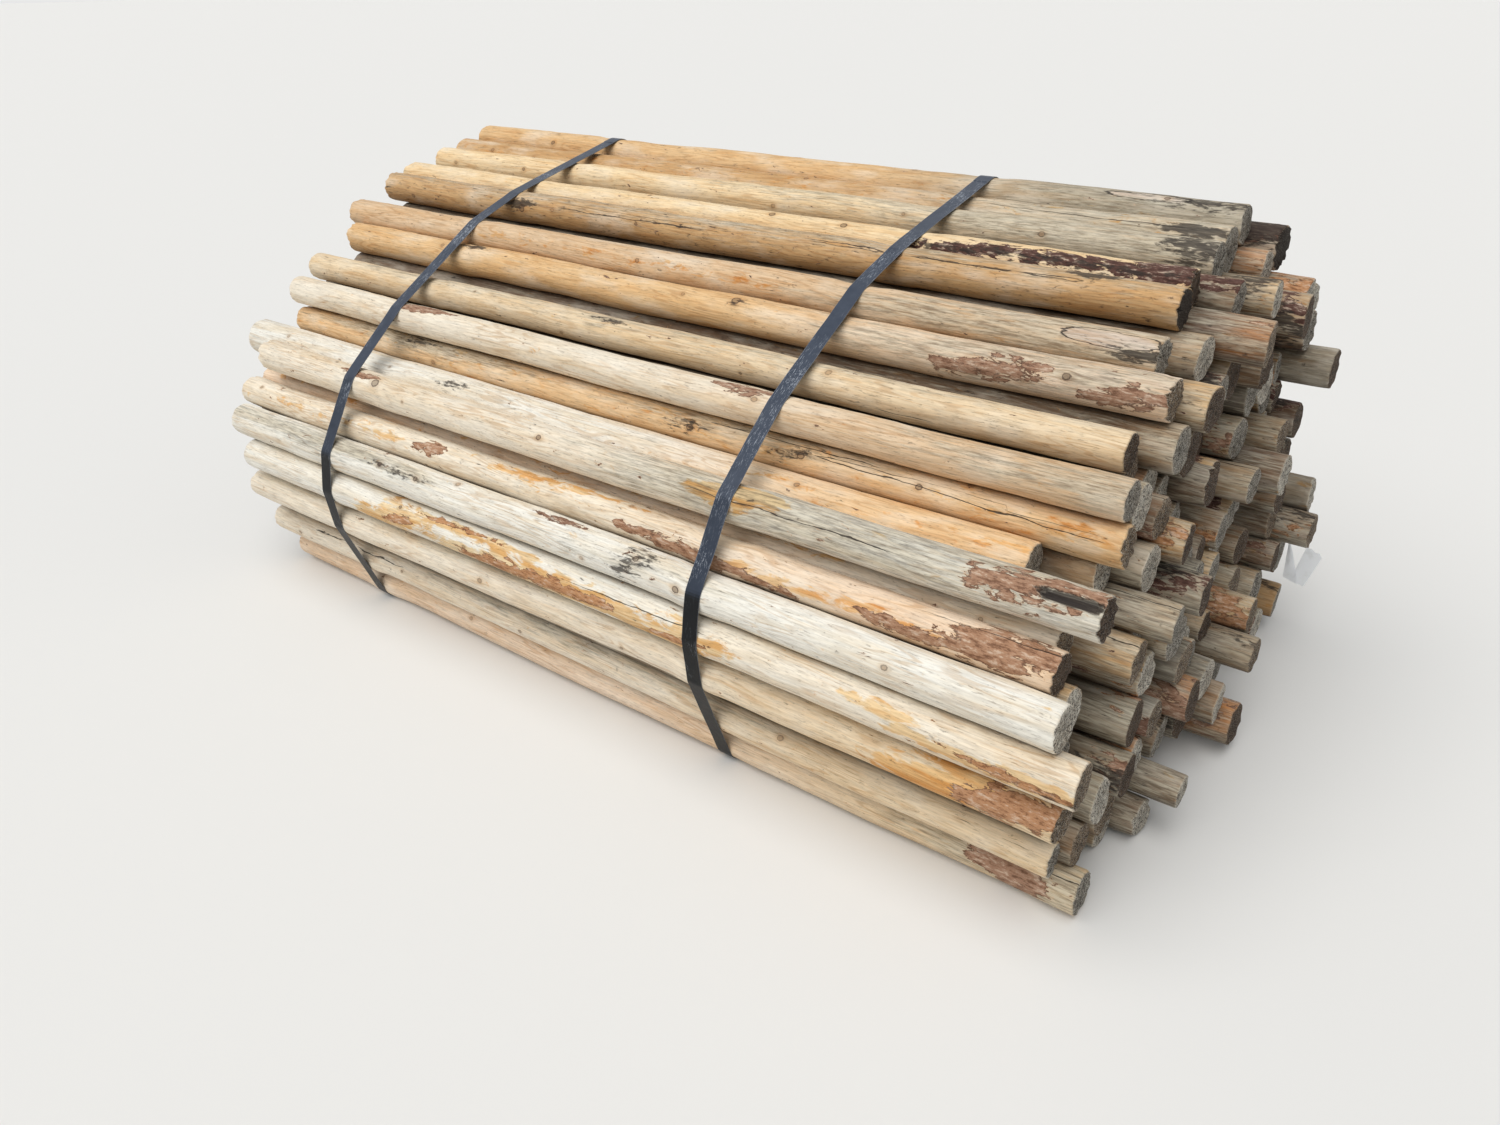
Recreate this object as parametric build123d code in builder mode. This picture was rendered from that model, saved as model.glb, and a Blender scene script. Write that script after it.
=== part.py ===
from build123d import *

import math
import os
import random

# A strapped bundle of peeled round fence posts, lying on the ground.
# Sizes are in millimetres. X runs along the posts towards the near end, Y runs across
# the bundle away from the front flank, and Z is up from the ground.

# Posts
POST_LENGTH = 2438
POST_DIAMETER = 88
DIAMETER_SPREAD = 9
SPREAD_LIMIT = 1.8
LENGTH_SPREAD = 10
POST_CLEARANCE = 0.1
HIDDEN_SIDES = 16

# Section of the loose heap, across the posts. The straps press it to about 1500 by 1100.
BUNDLE_WIDTH = 1470
BUNDLE_HEIGHT = 1060
BASE_WIDTH = 1330
BELLY_HEIGHT = 345
CROWN_SHIFT = 300
FRONT_FULLNESS = 1.5
BACK_FULLNESS = 2.2
RING_GAP = 4
PACKING_PITCH = 0.975
GRID_EDGE = 0.32
OUTLINE_STEP = 3

# How the loose posts are pressed into a bundle
CORE_SHARE = 0.4
HOLD_STEPS = 120
HOLD_SHARE = 0.33
SQUEEZE_STEPS = 320
FINISH_STEPS = 1200
SQUEEZE_PULL = 0.5
LAST_PULL = 0.02
PUSHES_PER_STEP = 4
STEPS_PER_SEARCH = 5
SEARCH_REACH = 0.35
OVERLAP_LEFT = 0.01

# Ends of the posts
END_STAGGER = 60
CROWN_SETBACK = 60

# Straps
STRAP_WIDTH = 45
STRAP_THICKNESS = 1.2
STRAP_CLEARANCE = 0.3
NEAR_STRAP_FROM_END = 720
FAR_STRAP_FROM_END = 490
LAP_START = 20
LAP_ANGLE = 36

# Crimped seals on the lap of each strap
SEAL_LENGTH = 44
SEAL_THICKNESS = 1.2
SEAL_CLEARANCE = 0.2
SEALS_PER_STRAP = 2
NOTCH_RADIUS = 3.5
NOTCH_SIDES = 6
NOTCH_SPACING = 16

# Folded tag at the near end
TAG_LENGTH = 90
TAG_LEAF = 60
TAG_THICKNESS = 0.6
TAG_CLEARANCE = 0.3
TAG_FIRST_LEAF = 12
TAG_SECOND_LEAF = 45
TAG_HEIGHT = 220
TAG_FOLD_SHARE = 0.2

LAYER_HEIGHT = 76
RANDOM_SEED = 11

# Fineness of the wrapping: runs this level count as flat, arcs this short are left out.
# The band is followed once round, from the angle at which it leaves the ground.
FLAT_ENOUGH = 0.01
GRAZING_ANGLE = 0.2
GROUND_ANGLE = -90

# Front flank, from the ground up to the crown, one row for each post that shows:
# diameter, spacing to the next post, how deep it is sunk, how far its near end stands out
FRONT_POSTS = [
    (86, 90, 0, 90),
    (72, 106, 20, 45),
    (76, 110, 0, 70),
    (88, 92, 0, 95),
    (88, 82, -5, 45),
    (80, 65, 0, 5),
    (78, 70, 60, -25),
    (84, 109, -30, 55),
    (80, 85, 50, 20),
    (78, 96, -30, 10),
    (76, 115, 0, -35),
    (84, 118, -5, -10),
    (82, 137, 0, -60),
    (84, 110, -10, -85),
    (80, 95, -15, -95),
    (84, 105, 10, -95),
    (100, 95, 0, -105),
    (88, 80, -45, -105),
    (100, 96, -20, -40),
]

# Back flank, from the crown down to the ground: how far each post's near end stands out
BACK_STAND_OUT = [36, 27, 88, -11, 35, 19, 104, 67, 46, 83]


class Post:
    """One post: where its axis lies, its radius, its length and how far its near end stands out."""

    def __init__(self, y, z, diameter, rng):
        self.y = y
        self.z = z
        self.radius = diameter / 2
        self.length = POST_LENGTH + rng.uniform(-LENGTH_SPREAD, LENGTH_SPREAD)
        self.stand_out = spread(rng) * END_STAGGER
        self.anchor = None
        self.grounded = False
        self.shows = False
        self.listed = False
        self.turn = 0

    def near_end(self):
        return POST_LENGTH / 2 + self.stand_out

    def far_end(self):
        return self.near_end() - self.length


def spread(rng):
    """Random share of a spread, seldom more than one and never past the limit."""
    return max(-SPREAD_LIMIT, min(SPREAD_LIMIT, rng.gauss(0, 1)))


def centre_outline():
    """Points on the line through the outermost posts' axes, front foot to back foot."""
    radius = POST_DIAMETER / 2
    foot_z = radius + STRAP_THICKNESS + STRAP_CLEARANCE
    flank_y = BUNDLE_WIDTH / 2 - radius - STRAP_THICKNESS
    foot_y = BASE_WIDTH / 2 - radius
    rise = BUNDLE_HEIGHT - radius - BELLY_HEIGHT
    front_reach = CROWN_SHIFT + flank_y
    back_reach = flank_y - CROWN_SHIFT
    quarter = [math.radians(step) for step in range(0, 91, OUTLINE_STEP)]
    points = []
    for a in quarter:
        points.append((-foot_y - (flank_y - foot_y) * math.sin(a),
                       BELLY_HEIGHT - (BELLY_HEIGHT - foot_z) * math.cos(a)))
    for a in quarter[1:]:
        points.append((CROWN_SHIFT - front_reach * math.cos(a) ** (2 / FRONT_FULLNESS),
                       BELLY_HEIGHT + rise * math.sin(a) ** (2 / FRONT_FULLNESS)))
    for a in reversed(quarter[:-1]):
        points.append((CROWN_SHIFT + back_reach * math.cos(a) ** (2 / BACK_FULLNESS),
                       BELLY_HEIGHT + rise * math.sin(a) ** (2 / BACK_FULLNESS)))
    for a in reversed(quarter[:-1]):
        points.append((foot_y + (flank_y - foot_y) * math.sin(a),
                       BELLY_HEIGHT - (BELLY_HEIGHT - foot_z) * math.cos(a)))
    return points


def point_along(points, travel):
    """Point and inward direction at a distance along a line of points, or None past its end."""
    for (y0, z0), (y1, z1) in zip(points, points[1:]):
        step = math.hypot(y1 - y0, z1 - z0)
        if travel <= step:
            share = travel / step
            inward = ((z1 - z0) / step, -(y1 - y0) / step)
            return (y0 + share * (y1 - y0), z0 + share * (z1 - z0)), inward
        travel -= step
    return None


def outer_posts(rng):
    """Posts of the outermost ring: the front flank by its list, then the back and the ground row."""
    points = centre_outline()
    ring = []
    travel = 0
    for diameter, spacing, sunk, stand_out in FRONT_POSTS:
        place = point_along(points, travel)
        if place is None:
            break
        (y, z), (in_y, in_z) = place
        post = Post(y + sunk * in_y, z + sunk * in_z, diameter, rng)
        post.stand_out = stand_out
        post.listed = True
        post.shows = True
        ring.append(post)
        travel += spacing
    back_listed = list(BACK_STAND_OUT)
    place = point_along(points, travel)
    while place is not None:
        diameter = natural_diameter(rng)
        post = Post(*place[0], diameter, rng)
        if back_listed:
            post.stand_out = back_listed.pop(0)
            post.listed = True
        post.shows = True
        ring.append(post)
        travel += diameter + RING_GAP
        place = point_along(points, travel)
    ground_from = ring[0].y + ring[0].radius
    ground_to = ring[-1].y - ring[-1].radius
    count = int((ground_to - ground_from) / (POST_DIAMETER + RING_GAP))
    pitch = (ground_to - ground_from) / count
    for index in range(count):
        diameter = natural_diameter(rng)
        post = Post(ground_from + (index + 0.5) * pitch, 0, diameter, rng)
        post.z = ground_line(post)
        post.grounded = True
        ring.append(post)
    for post in ring:
        post.anchor = (post.y, post.z)
    return ring


def natural_diameter(rng):
    """Diameter of one more post, spread about the usual one."""
    return POST_DIAMETER + spread(rng) * DIAMETER_SPREAD


def ground_line(post):
    """Height of the axis of a post that lies on the strap, or level with it, on the ground."""
    return post.radius + STRAP_THICKNESS + STRAP_CLEARANCE


def inside(points, y, z):
    """True where y, z lies inside the closed line of points."""
    crossings = 0
    for (y0, z0), (y1, z1) in zip(points, points[1:] + points[:1]):
        if (z0 > z) != (z1 > z) and y < y0 + (z - z0) / (z1 - z0) * (y1 - y0):
            crossings += 1
    return crossings % 2 == 1


def inner_posts(ring, rng):
    """Posts that start on a close triangular grid inside the ring."""
    outline = [post.anchor for post in ring if not post.grounded]
    pitch = POST_DIAMETER * PACKING_PITCH
    row_height = pitch * math.sqrt(3) / 2
    filling = []
    rows = int(BUNDLE_HEIGHT / row_height)
    columns = int(BUNDLE_WIDTH / pitch)
    for row in range(1, rows + 1):
        for column in range(-columns, columns + 1):
            y = (column + row % 2 / 2) * pitch
            z = POST_DIAMETER / 2 + row * row_height
            clear = min(math.hypot(y - post.y, z - post.z) - post.radius for post in ring)
            if inside(outline, y, z) and clear > pitch * GRID_EDGE:
                filling.append(Post(y, z, natural_diameter(rng), rng))
    return filling


def least_distance(a, b):
    """Distance between two axes at which the posts just clear each other."""
    return a.radius + b.radius + POST_CLEARANCE


def close_pairs(posts):
    """Pairs near enough to press on each other, with the distance that they need."""
    reach = POST_DIAMETER * SEARCH_REACH
    pairs = []
    for index, a in enumerate(posts):
        for b in posts[index + 1:]:
            need = least_distance(a, b)
            if math.hypot(a.y - b.y, a.z - b.z) < need + reach:
                pairs.append((a, b, need))
    return pairs


def push_apart(pairs, posts):
    """Move overlapping pairs apart and keep every post off the ground. Returns the worst overlap."""
    worst = 0
    for a, b, need in pairs:
        dy = b.y - a.y
        dz = b.z - a.z
        distance = math.hypot(dy, dz)
        lack = need - distance
        if lack > 0:
            worst = max(worst, lack)
            shift_y = dy / distance * lack / 2
            shift_z = dz / distance * lack / 2
            a.y -= shift_y
            a.z -= shift_z
            b.y += shift_y
            b.z += shift_z
    for post in posts:
        floor = ground_line(post)
        if post.z < floor:
            post.z = floor
    return worst


def squeeze(posts):
    """Press the posts together as the straps and their weight do, until they bear on each other."""
    core_y = CROWN_SHIFT * CORE_SHARE
    core_z = BUNDLE_HEIGHT * CORE_SHARE
    for step in range(HOLD_STEPS + SQUEEZE_STEPS):
        held = step < HOLD_STEPS
        pull = SQUEEZE_PULL * (HOLD_STEPS + SQUEEZE_STEPS - step) / SQUEEZE_STEPS + LAST_PULL
        for post in posts:
            away = max(POST_DIAMETER, math.hypot(core_y - post.y, core_z - post.z))
            if held and post.anchor:
                post.y += (post.anchor[0] - post.y) * HOLD_SHARE
                post.z += (post.anchor[1] - post.z) * HOLD_SHARE
            elif not held:
                post.y += pull * (core_y - post.y) / away
                post.z += pull * (core_z - post.z) / away
        if step % STEPS_PER_SEARCH == 0:
            pairs = close_pairs(posts)
        for _ in range(PUSHES_PER_STEP):
            push_apart(pairs, posts)
    pairs = close_pairs(posts)
    for _ in range(FINISH_STEPS):
        if push_apart(pairs, posts) < OVERLAP_LEFT:
            break
    for post in posts:
        turn_to_neighbour(post, posts)


def turn_to_neighbour(post, posts):
    """Turn a flat-sided post so that one of its corners bears on the nearest post."""
    others = [other for other in posts if other is not post]
    nearest = min(others, key=lambda other: math.hypot(other.y - post.y, other.z - post.z) - other.radius)
    post.turn = math.degrees(math.atan2(nearest.z - post.z, nearest.y - post.y))


def direction(angle):
    """Unit direction at an angle in degrees, in the plane across the posts."""
    return math.cos(math.radians(angle)), math.sin(math.radians(angle))


def wrap_round(circles):
    """Arcs where a tight band bears on circles of (y, z, radius), as (circle, start, end) in degrees.

    The first circle is the last one that the band leaves on the ground, and the band is
    followed upwards from there, round the back and the crown and down the front.
    """
    lowest = min(z - radius for _, z, radius in circles)
    grounded = [circle for circle in circles if circle[1] - circle[2] < lowest + FLAT_ENOUGH]
    first = max(grounded)
    arcs = []
    current = first
    angle = GROUND_ANGLE
    while True:
        best = None
        for other in circles:
            if other is current:
                continue
            span = math.hypot(other[0] - current[0], other[1] - current[1])
            bearing = math.degrees(math.atan2(other[1] - current[1], other[0] - current[0]))
            lead = math.degrees(math.acos((current[2] - other[2]) / span))
            turn = (bearing - lead - angle) % 360
            if turn > 360 - FLAT_ENOUGH:
                turn = 0
            if best is None or (round(turn, 4), -span) < (round(best[0], 4), -best[2]):
                best = (turn, other, span)
        end = min(angle + best[0], GROUND_ANGLE + 360)
        arcs.append((current, angle, end))
        if best[1] is first:
            return arcs
        current = best[1]
        angle = end


def tight_wrap(circles):
    """The same arcs without the posts that the band only grazes."""
    arcs = wrap_round(circles)
    kept = [circle for circle, start, end in arcs if end - start > GRAZING_ANGLE]
    return wrap_round(kept)


def draw_band_edge(arcs, offset):
    """Closed line of arcs and straight runs at an offset outside the posts."""
    edges = []
    for (y, z, radius), start, end in arcs:
        edges.append(CenterArc((y, z), radius + offset, start, end - start))
    for one, following in zip(edges, edges[1:] + edges[:1]):
        Line(one @ 1, following @ 0)


def straight_runs(arcs, offset):
    """Straight runs of the band, as (outward angle, middle, length)."""
    runs = []
    for (one, _, end), (other, _, _) in zip(arcs, arcs[1:]):
        out_y, out_z = direction(end)
        start = (one[0] + (one[2] + offset) * out_y, one[1] + (one[2] + offset) * out_z)
        stop = (other[0] + (other[2] + offset) * out_y, other[1] + (other[2] + offset) * out_z)
        middle = ((start[0] + stop[0]) / 2, (start[1] + stop[1]) / 2)
        runs.append((end, middle, math.dist(start, stop)))
    return runs


def angle_from_core(point):
    """Angle in degrees at which a point is seen from the middle of the section."""
    return math.degrees(math.atan2(point[1] - BUNDLE_HEIGHT / 2, point[0]))


def make_posts(name, posts):
    """One layer of posts. Those of the ring are round, and those inside it have flat sides."""
    with BuildPart() as layer:
        for post in posts:
            with BuildSketch(Plane.YZ.offset(post.far_end())):
                with Locations((post.y, post.z)):
                    if post.shows:
                        Circle(post.radius)
                    else:
                        RegularPolygon(post.radius, HIDDEN_SIDES, rotation=post.turn)
            extrude(amount=post.length)
    layer.part.label = name
    return layer.part


def make_strap(name, arcs, middle_x):
    """Steel band round the whole bundle, with its free end lapped over it high on the back."""
    inner = STRAP_CLEARANCE
    outer = inner + STRAP_THICKNESS
    lapped = outer + STRAP_THICKNESS
    reach = 2 * (BUNDLE_WIDTH + BUNDLE_HEIGHT)
    core = (0, BUNDLE_HEIGHT / 2)
    lap_from = direction(LAP_START)
    lap_to = direction(LAP_START + LAP_ANGLE)
    with BuildPart() as strap:
        with BuildSketch(Plane.YZ.offset(middle_x)):
            with BuildLine():
                draw_band_edge(arcs, lapped)
            make_face()
            with BuildLine():
                Polyline(core, (core[0] + reach * lap_from[0], core[1] + reach * lap_from[1]),
                         (core[0] + reach * lap_to[0], core[1] + reach * lap_to[1]), close=True)
            make_face(mode=Mode.INTERSECT)
            with BuildLine():
                draw_band_edge(arcs, outer)
            make_face()
            with BuildLine():
                draw_band_edge(arcs, inner)
            make_face(mode=Mode.SUBTRACT)
        extrude(amount=STRAP_WIDTH / 2, both=True)
    strap.part.label = name
    return strap.part


def make_seals(name, arcs, middle_x):
    """Sleeves of steel crimped round the lap, each on its own straight run, notched at both edges."""
    outer = STRAP_CLEARANCE + STRAP_THICKNESS
    hollow_width = STRAP_WIDTH + 2 * SEAL_CLEARANCE
    hollow_height = 2 * STRAP_THICKNESS + 2 * SEAL_CLEARANCE
    seal_width = hollow_width + 2 * SEAL_THICKNESS
    seal_height = hollow_height + 2 * SEAL_THICKNESS
    runs = [run for run in straight_runs(arcs, outer) if run[2] > SEAL_LENGTH]
    middle_of_lap = LAP_START + LAP_ANGLE / 2
    runs.sort(key=lambda run: abs(angle_from_core(run[1]) - middle_of_lap))
    with BuildPart() as seals:
        for out_angle, (y, z), _ in runs[:SEALS_PER_STRAP]:
            out_y, out_z = direction(out_angle)
            along = (0, -out_z, out_y)
            run_plane = Plane(origin=(middle_x, y, z), x_dir=(1, 0, 0), z_dir=along)
            with BuildSketch(run_plane):
                Rectangle(seal_width, seal_height)
                Rectangle(hollow_width, hollow_height, mode=Mode.SUBTRACT)
            extrude(amount=SEAL_LENGTH / 2, both=True)
            top_plane = Plane(origin=(middle_x, y, z), x_dir=along, z_dir=(0, out_y, out_z))
            with BuildSketch(top_plane):
                with GridLocations(NOTCH_SPACING, seal_width, 2, 2):
                    RegularPolygon(NOTCH_RADIUS, NOTCH_SIDES)
            extrude(amount=seal_height, both=True, mode=Mode.SUBTRACT)
    seals.part.label = name
    return seals.part


def make_tag(name, posts):
    """Small card folded into two leaves, stapled by its fold to the end of a post at the back."""
    back = [post for post in posts if post.y > BUNDLE_WIDTH / 2 - POST_DIAMETER]
    post = min(back, key=lambda one: abs(one.z - TAG_HEIGHT))
    fold_y = post.y + post.radius * TAG_FOLD_SHARE
    for other in posts:
        beside = max(fold_y - other.y, other.y - fold_y - TAG_LEAF, 0)
        above = max(abs(other.z - post.z) - TAG_LENGTH / 2, 0)
        if math.hypot(beside, above) < other.radius + TAG_CLEARANCE:
            other.stand_out = min(other.stand_out, 0)
    post.stand_out = END_STAGGER
    fold_x = post.near_end() + TAG_CLEARANCE + TAG_THICKNESS / 2
    with BuildPart() as tag:
        with BuildSketch(Plane.XY.offset(post.z - TAG_LENGTH / 2)):
            with Locations((fold_x, fold_y)):
                Circle(TAG_THICKNESS / 2)
                for angle in (TAG_FIRST_LEAF, TAG_SECOND_LEAF):
                    Rectangle(TAG_LEAF, TAG_THICKNESS, rotation=angle, align=(Align.MIN, Align.CENTER))
        extrude(amount=TAG_LENGTH)
    tag.part.label = name
    return tag.part


def rake_ends(posts):
    """Set the crown's posts back from the near end, apart from those that are listed."""
    for post in posts:
        if not post.listed:
            post.stand_out += CROWN_SETBACK * (1 - 2 * post.z / BUNDLE_HEIGHT)


def make_bundle():
    """All pieces of the bundle by name."""
    rng = random.Random(RANDOM_SEED)
    ring = outer_posts(rng)
    posts = ring + inner_posts(ring, rng)
    squeeze(posts)
    rake_ends(posts)
    pieces = {"tag": make_tag("tag", posts)}
    section = [(post.y, post.z, post.radius) for post in posts]
    arcs = tight_wrap(section)
    strap_places = {"near": POST_LENGTH / 2 - NEAR_STRAP_FROM_END,
                    "far": FAR_STRAP_FROM_END - POST_LENGTH / 2}
    for side, middle_x in strap_places.items():
        pieces["strap_" + side] = make_strap("strap_" + side, arcs, middle_x)
        pieces["seals_" + side] = make_seals("seals_" + side, arcs, middle_x)
    layers = {}
    for post in sorted(posts, key=lambda post: post.z):
        layers.setdefault(int(post.z / LAYER_HEIGHT), []).append(post)
    for index, layer in enumerate(layers.values()):
        name = f"post_layer_{index + 1:02d}"
        pieces[name] = make_posts(name, layer)
    print(len(posts), "posts in", len(layers), "layers")
    return pieces


def export_centred(pieces):
    """Write every piece with the origin on the ground under the middle of the bundle."""
    boxes = [piece.bounding_box() for piece in pieces.values()]
    middle_x = (min(box.min.X for box in boxes) + max(box.max.X for box in boxes)) / 2
    middle_y = (min(box.min.Y for box in boxes) + max(box.max.Y for box in boxes)) / 2
    lowest = min(box.min.Z for box in boxes)
    os.makedirs("parts", exist_ok=True)
    for name, piece in pieces.items():
        placed = piece.moved(Location((-middle_x, -middle_y, -lowest)))
        placed.label = name
        export_step(placed, f"parts/{name}.step")


export_centred(make_bundle())
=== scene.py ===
# %% [markdown]
# A strapped bundle of peeled fence posts
#
# The real thing is about 170 thin round posts with the bark peeled off, stacked flat on the
# ground and pressed together by two painted steel straps. Each post is its own bit of tree:
# some are cream, some honey coloured, some have gone grey where the rain reached them, and
# most still carry a strip of bark that the peeler missed. The bundle could be one cylinder
# repeated many times, but then every knot would repeat too, so here each post is modelled by
# the same function with its own numbers.
#
# The sizes and places come from the frame, which holds plain posts of the right size. The
# cells below measure those posts and dress them.

import math
import random

import bmesh
import bpy
import numpy as np
from mathutils import Matrix, Vector


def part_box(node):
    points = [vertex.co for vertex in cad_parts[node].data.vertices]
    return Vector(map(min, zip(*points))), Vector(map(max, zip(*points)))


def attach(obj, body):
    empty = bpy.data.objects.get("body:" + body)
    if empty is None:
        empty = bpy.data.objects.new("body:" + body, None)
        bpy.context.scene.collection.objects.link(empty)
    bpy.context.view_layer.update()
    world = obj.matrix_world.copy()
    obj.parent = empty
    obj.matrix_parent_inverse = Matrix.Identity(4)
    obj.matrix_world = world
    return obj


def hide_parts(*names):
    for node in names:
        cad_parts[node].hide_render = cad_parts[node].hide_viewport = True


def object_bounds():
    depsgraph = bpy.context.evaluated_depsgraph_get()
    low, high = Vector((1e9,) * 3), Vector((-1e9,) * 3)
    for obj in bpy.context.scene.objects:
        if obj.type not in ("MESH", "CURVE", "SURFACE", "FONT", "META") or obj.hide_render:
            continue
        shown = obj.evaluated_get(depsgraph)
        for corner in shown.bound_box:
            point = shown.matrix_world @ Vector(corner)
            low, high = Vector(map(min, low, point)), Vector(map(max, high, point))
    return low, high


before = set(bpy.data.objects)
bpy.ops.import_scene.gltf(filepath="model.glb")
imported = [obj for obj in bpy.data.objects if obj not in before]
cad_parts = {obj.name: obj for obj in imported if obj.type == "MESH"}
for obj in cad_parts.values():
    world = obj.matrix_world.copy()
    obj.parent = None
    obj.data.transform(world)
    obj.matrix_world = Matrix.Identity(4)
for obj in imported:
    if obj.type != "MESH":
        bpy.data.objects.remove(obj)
cad_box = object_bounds()
print("bundle, lowest and highest corner in metres:", cad_box)

# %% [markdown]
# The camera stands at the near corner, above eye level of someone kneeling, and looks down
# along the front flank. It could be aimed by hand or by a constraint that tracks the bundle,
# but then it couldn't have the small roll of a camera held in the hand. A camera is an object
# whose own -Z axis points at the subject, so its turn is built from three directions: right,
# up and backwards.

# %% Camera
CAMERA_PLACE = Vector((1.762, -2.181, 1.561))
LOOK_DOWN = math.radians(27.9)
LOOK_LEFT = math.radians(37.9)
CAMERA_ROLL = math.radians(0.65)
FOCAL_PIXELS = 1127
PHOTO_WIDTH = 1500
SENSOR_WIDTH = 36
FARTHEST_SEEN = 500


def new_object(name, data):
    """Object made from some data and put in the scene."""
    made = bpy.data.objects.new(name, data)
    bpy.context.scene.collection.objects.link(made)
    return made


def make_camera():
    """Camera at the photograph's place and angle."""
    right = Vector((math.cos(LOOK_LEFT), math.sin(LOOK_LEFT), 0))
    forward = Vector((-math.sin(LOOK_LEFT) * math.cos(LOOK_DOWN),
                      math.cos(LOOK_LEFT) * math.cos(LOOK_DOWN), -math.sin(LOOK_DOWN)))
    down = forward.cross(right)
    rolled_right = right * math.cos(CAMERA_ROLL) + down * math.sin(CAMERA_ROLL)
    rolled_down = down * math.cos(CAMERA_ROLL) - right * math.sin(CAMERA_ROLL)
    data = bpy.data.cameras.new("camera")
    data.sensor_width = SENSOR_WIDTH
    data.lens = SENSOR_WIDTH * FOCAL_PIXELS / PHOTO_WIDTH
    data.clip_end = FARTHEST_SEEN
    camera = new_object("camera", data)
    turn = Matrix((rolled_right, -rolled_down, -forward)).transposed()
    camera.matrix_world = Matrix.Translation(CAMERA_PLACE) @ turn.to_4x4()
    bpy.context.scene.camera = camera
    print("camera lens in mm:", round(data.lens, 2))


make_camera()

# %% [markdown]
# Materials in Blender are networks of small nodes. They can be drawn by hand in the shader
# editor, but written in code they can be repeated and changed in one place. Code for nodes
# gets long, so a few helpers keep it readable: one adds any node and fills its sockets, and
# the others do arithmetic with values.

# %% Helpers for values


def fill(tree, node, inputs):
    """Fill a node's sockets. A value that is a socket is linked, any other is written in."""
    for socket, value in inputs.items():
        if isinstance(value, bpy.types.NodeSocket):
            tree.links.new(value, node.inputs[socket])
        else:
            node.inputs[socket].default_value = value


def add(tree, kind, inputs=None, **settings):
    """Add one node with its settings and fill its sockets."""
    made = tree.nodes.new(kind)
    for name, value in settings.items():
        setattr(made, name, value)
    fill(tree, made, inputs or {})
    return made


def sums(tree, operation, first, second=0.0, third=0.0, clamp=False):
    """Result of one arithmetic node."""
    made = add(tree, "ShaderNodeMath", {0: first, 1: second, 2: third},
               operation=operation, use_clamp=clamp)
    return made.outputs[0]


def times(tree, one, other):
    """Product of two values."""
    return sums(tree, "MULTIPLY", one, other)


def hypotenuse(tree, one, other):
    """Distance from two offsets at right angles."""
    return sums(tree, "SQRT", sums(tree, "ADD", times(tree, one, one),
                                   times(tree, other, other)))


def ramp(tree, value, low, high, to_low=0.0, to_high=1.0):
    """Smooth step of a value between two limits."""
    made = add(tree, "ShaderNodeMapRange",
               {"Value": value, "From Min": low, "From Max": high,
                "To Min": to_low, "To Max": to_high}, interpolation_type="SMOOTHSTEP")
    return made.outputs["Result"]


print("helpers ready:", ", ".join(helper.__name__ for helper in (add, sums, times, ramp)))

# %% [markdown]
# The next helpers work on colours and places. A colour is written the way a paint program
# shows it and turned into the linear values of the renderer, where twice the number is twice
# the light. A place can be multiplied before a noise looks it up, which draws the noise out.

# %% Helpers for colours and places


def paint(red, green, blue):
    """Linear colour from the 0 to 255 values of a paint program."""
    def linear(value):
        share = value / 255
        return share / 12.92 if share <= 0.04045 else ((share + 0.055) / 1.055) ** 2.4
    return (linear(red), linear(green), linear(blue), 1.0)


def blend(tree, share, one, other, way="MIX"):
    """Colour between two others, or one laid over the other."""
    made = add(tree, "ShaderNodeMix", {0: share, 6: one, 7: other},
               data_type="RGBA", blend_type=way)
    return made.outputs[2]


def tinted(tree, colour, glaze):
    """Colour seen through a glaze of another."""
    return blend(tree, 1.0, colour, glaze, "MULTIPLY")


def noise(tree, vector, scale, detail=3.0, roughness=0.55, distortion=0.0):
    """Cloudy value from 0 to 1 over a place."""
    made = add(tree, "ShaderNodeTexNoise",
               {"Vector": vector, "Scale": scale, "Detail": detail,
                "Roughness": roughness, "Distortion": distortion})
    return made.outputs["Fac"]


def scaled(tree, vector, factors):
    """Place with each axis multiplied. A small factor draws a pattern out along its axis."""
    made = add(tree, "ShaderNodeVectorMath", {0: vector, 1: factors}, operation="MULTIPLY")
    return made.outputs["Vector"]


def axes(tree, vector):
    """The parts X, Y and Z of a vector."""
    return add(tree, "ShaderNodeSeparateXYZ", {0: vector}).outputs


def painted(tree, name):
    """What the mesh carries under a name."""
    return add(tree, "ShaderNodeAttribute", attribute_name=name).outputs


def bumped(tree, height, distance, strength):
    """Normal that makes a height show as relief."""
    made = add(tree, "ShaderNodeBump",
               {"Height": height, "Distance": distance, "Strength": strength})
    return made.outputs["Normal"]


print("middle grey in linear light:", round(paint(128, 128, 128)[0], 3))

# %% [markdown]
# An effect that several materials share is best made once, as a node group with named sockets
# like a small machine: places go in, masks and heights come out. The next helpers start a
# group, place it in a material and start a material with its one shader.

# %% Helpers for groups and materials
NUMBER = "NodeSocketFloat"
VECTOR = "NodeSocketVector"


def start_group(name, inputs, outputs):
    """Empty shader group with named sockets. Returns the tree, its inputs and its output node."""
    tree = bpy.data.node_groups.new(name, "ShaderNodeTree")
    for label, kind, value in inputs:
        socket = tree.interface.new_socket(name=label, in_out="INPUT", socket_type=kind)
        if value is not None:
            socket.default_value = value
    for label, kind in outputs:
        tree.interface.new_socket(name=label, in_out="OUTPUT", socket_type=kind)
    source = tree.nodes.new("NodeGroupInput")
    target = tree.nodes.new("NodeGroupOutput")
    return tree, source.outputs, target


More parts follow.
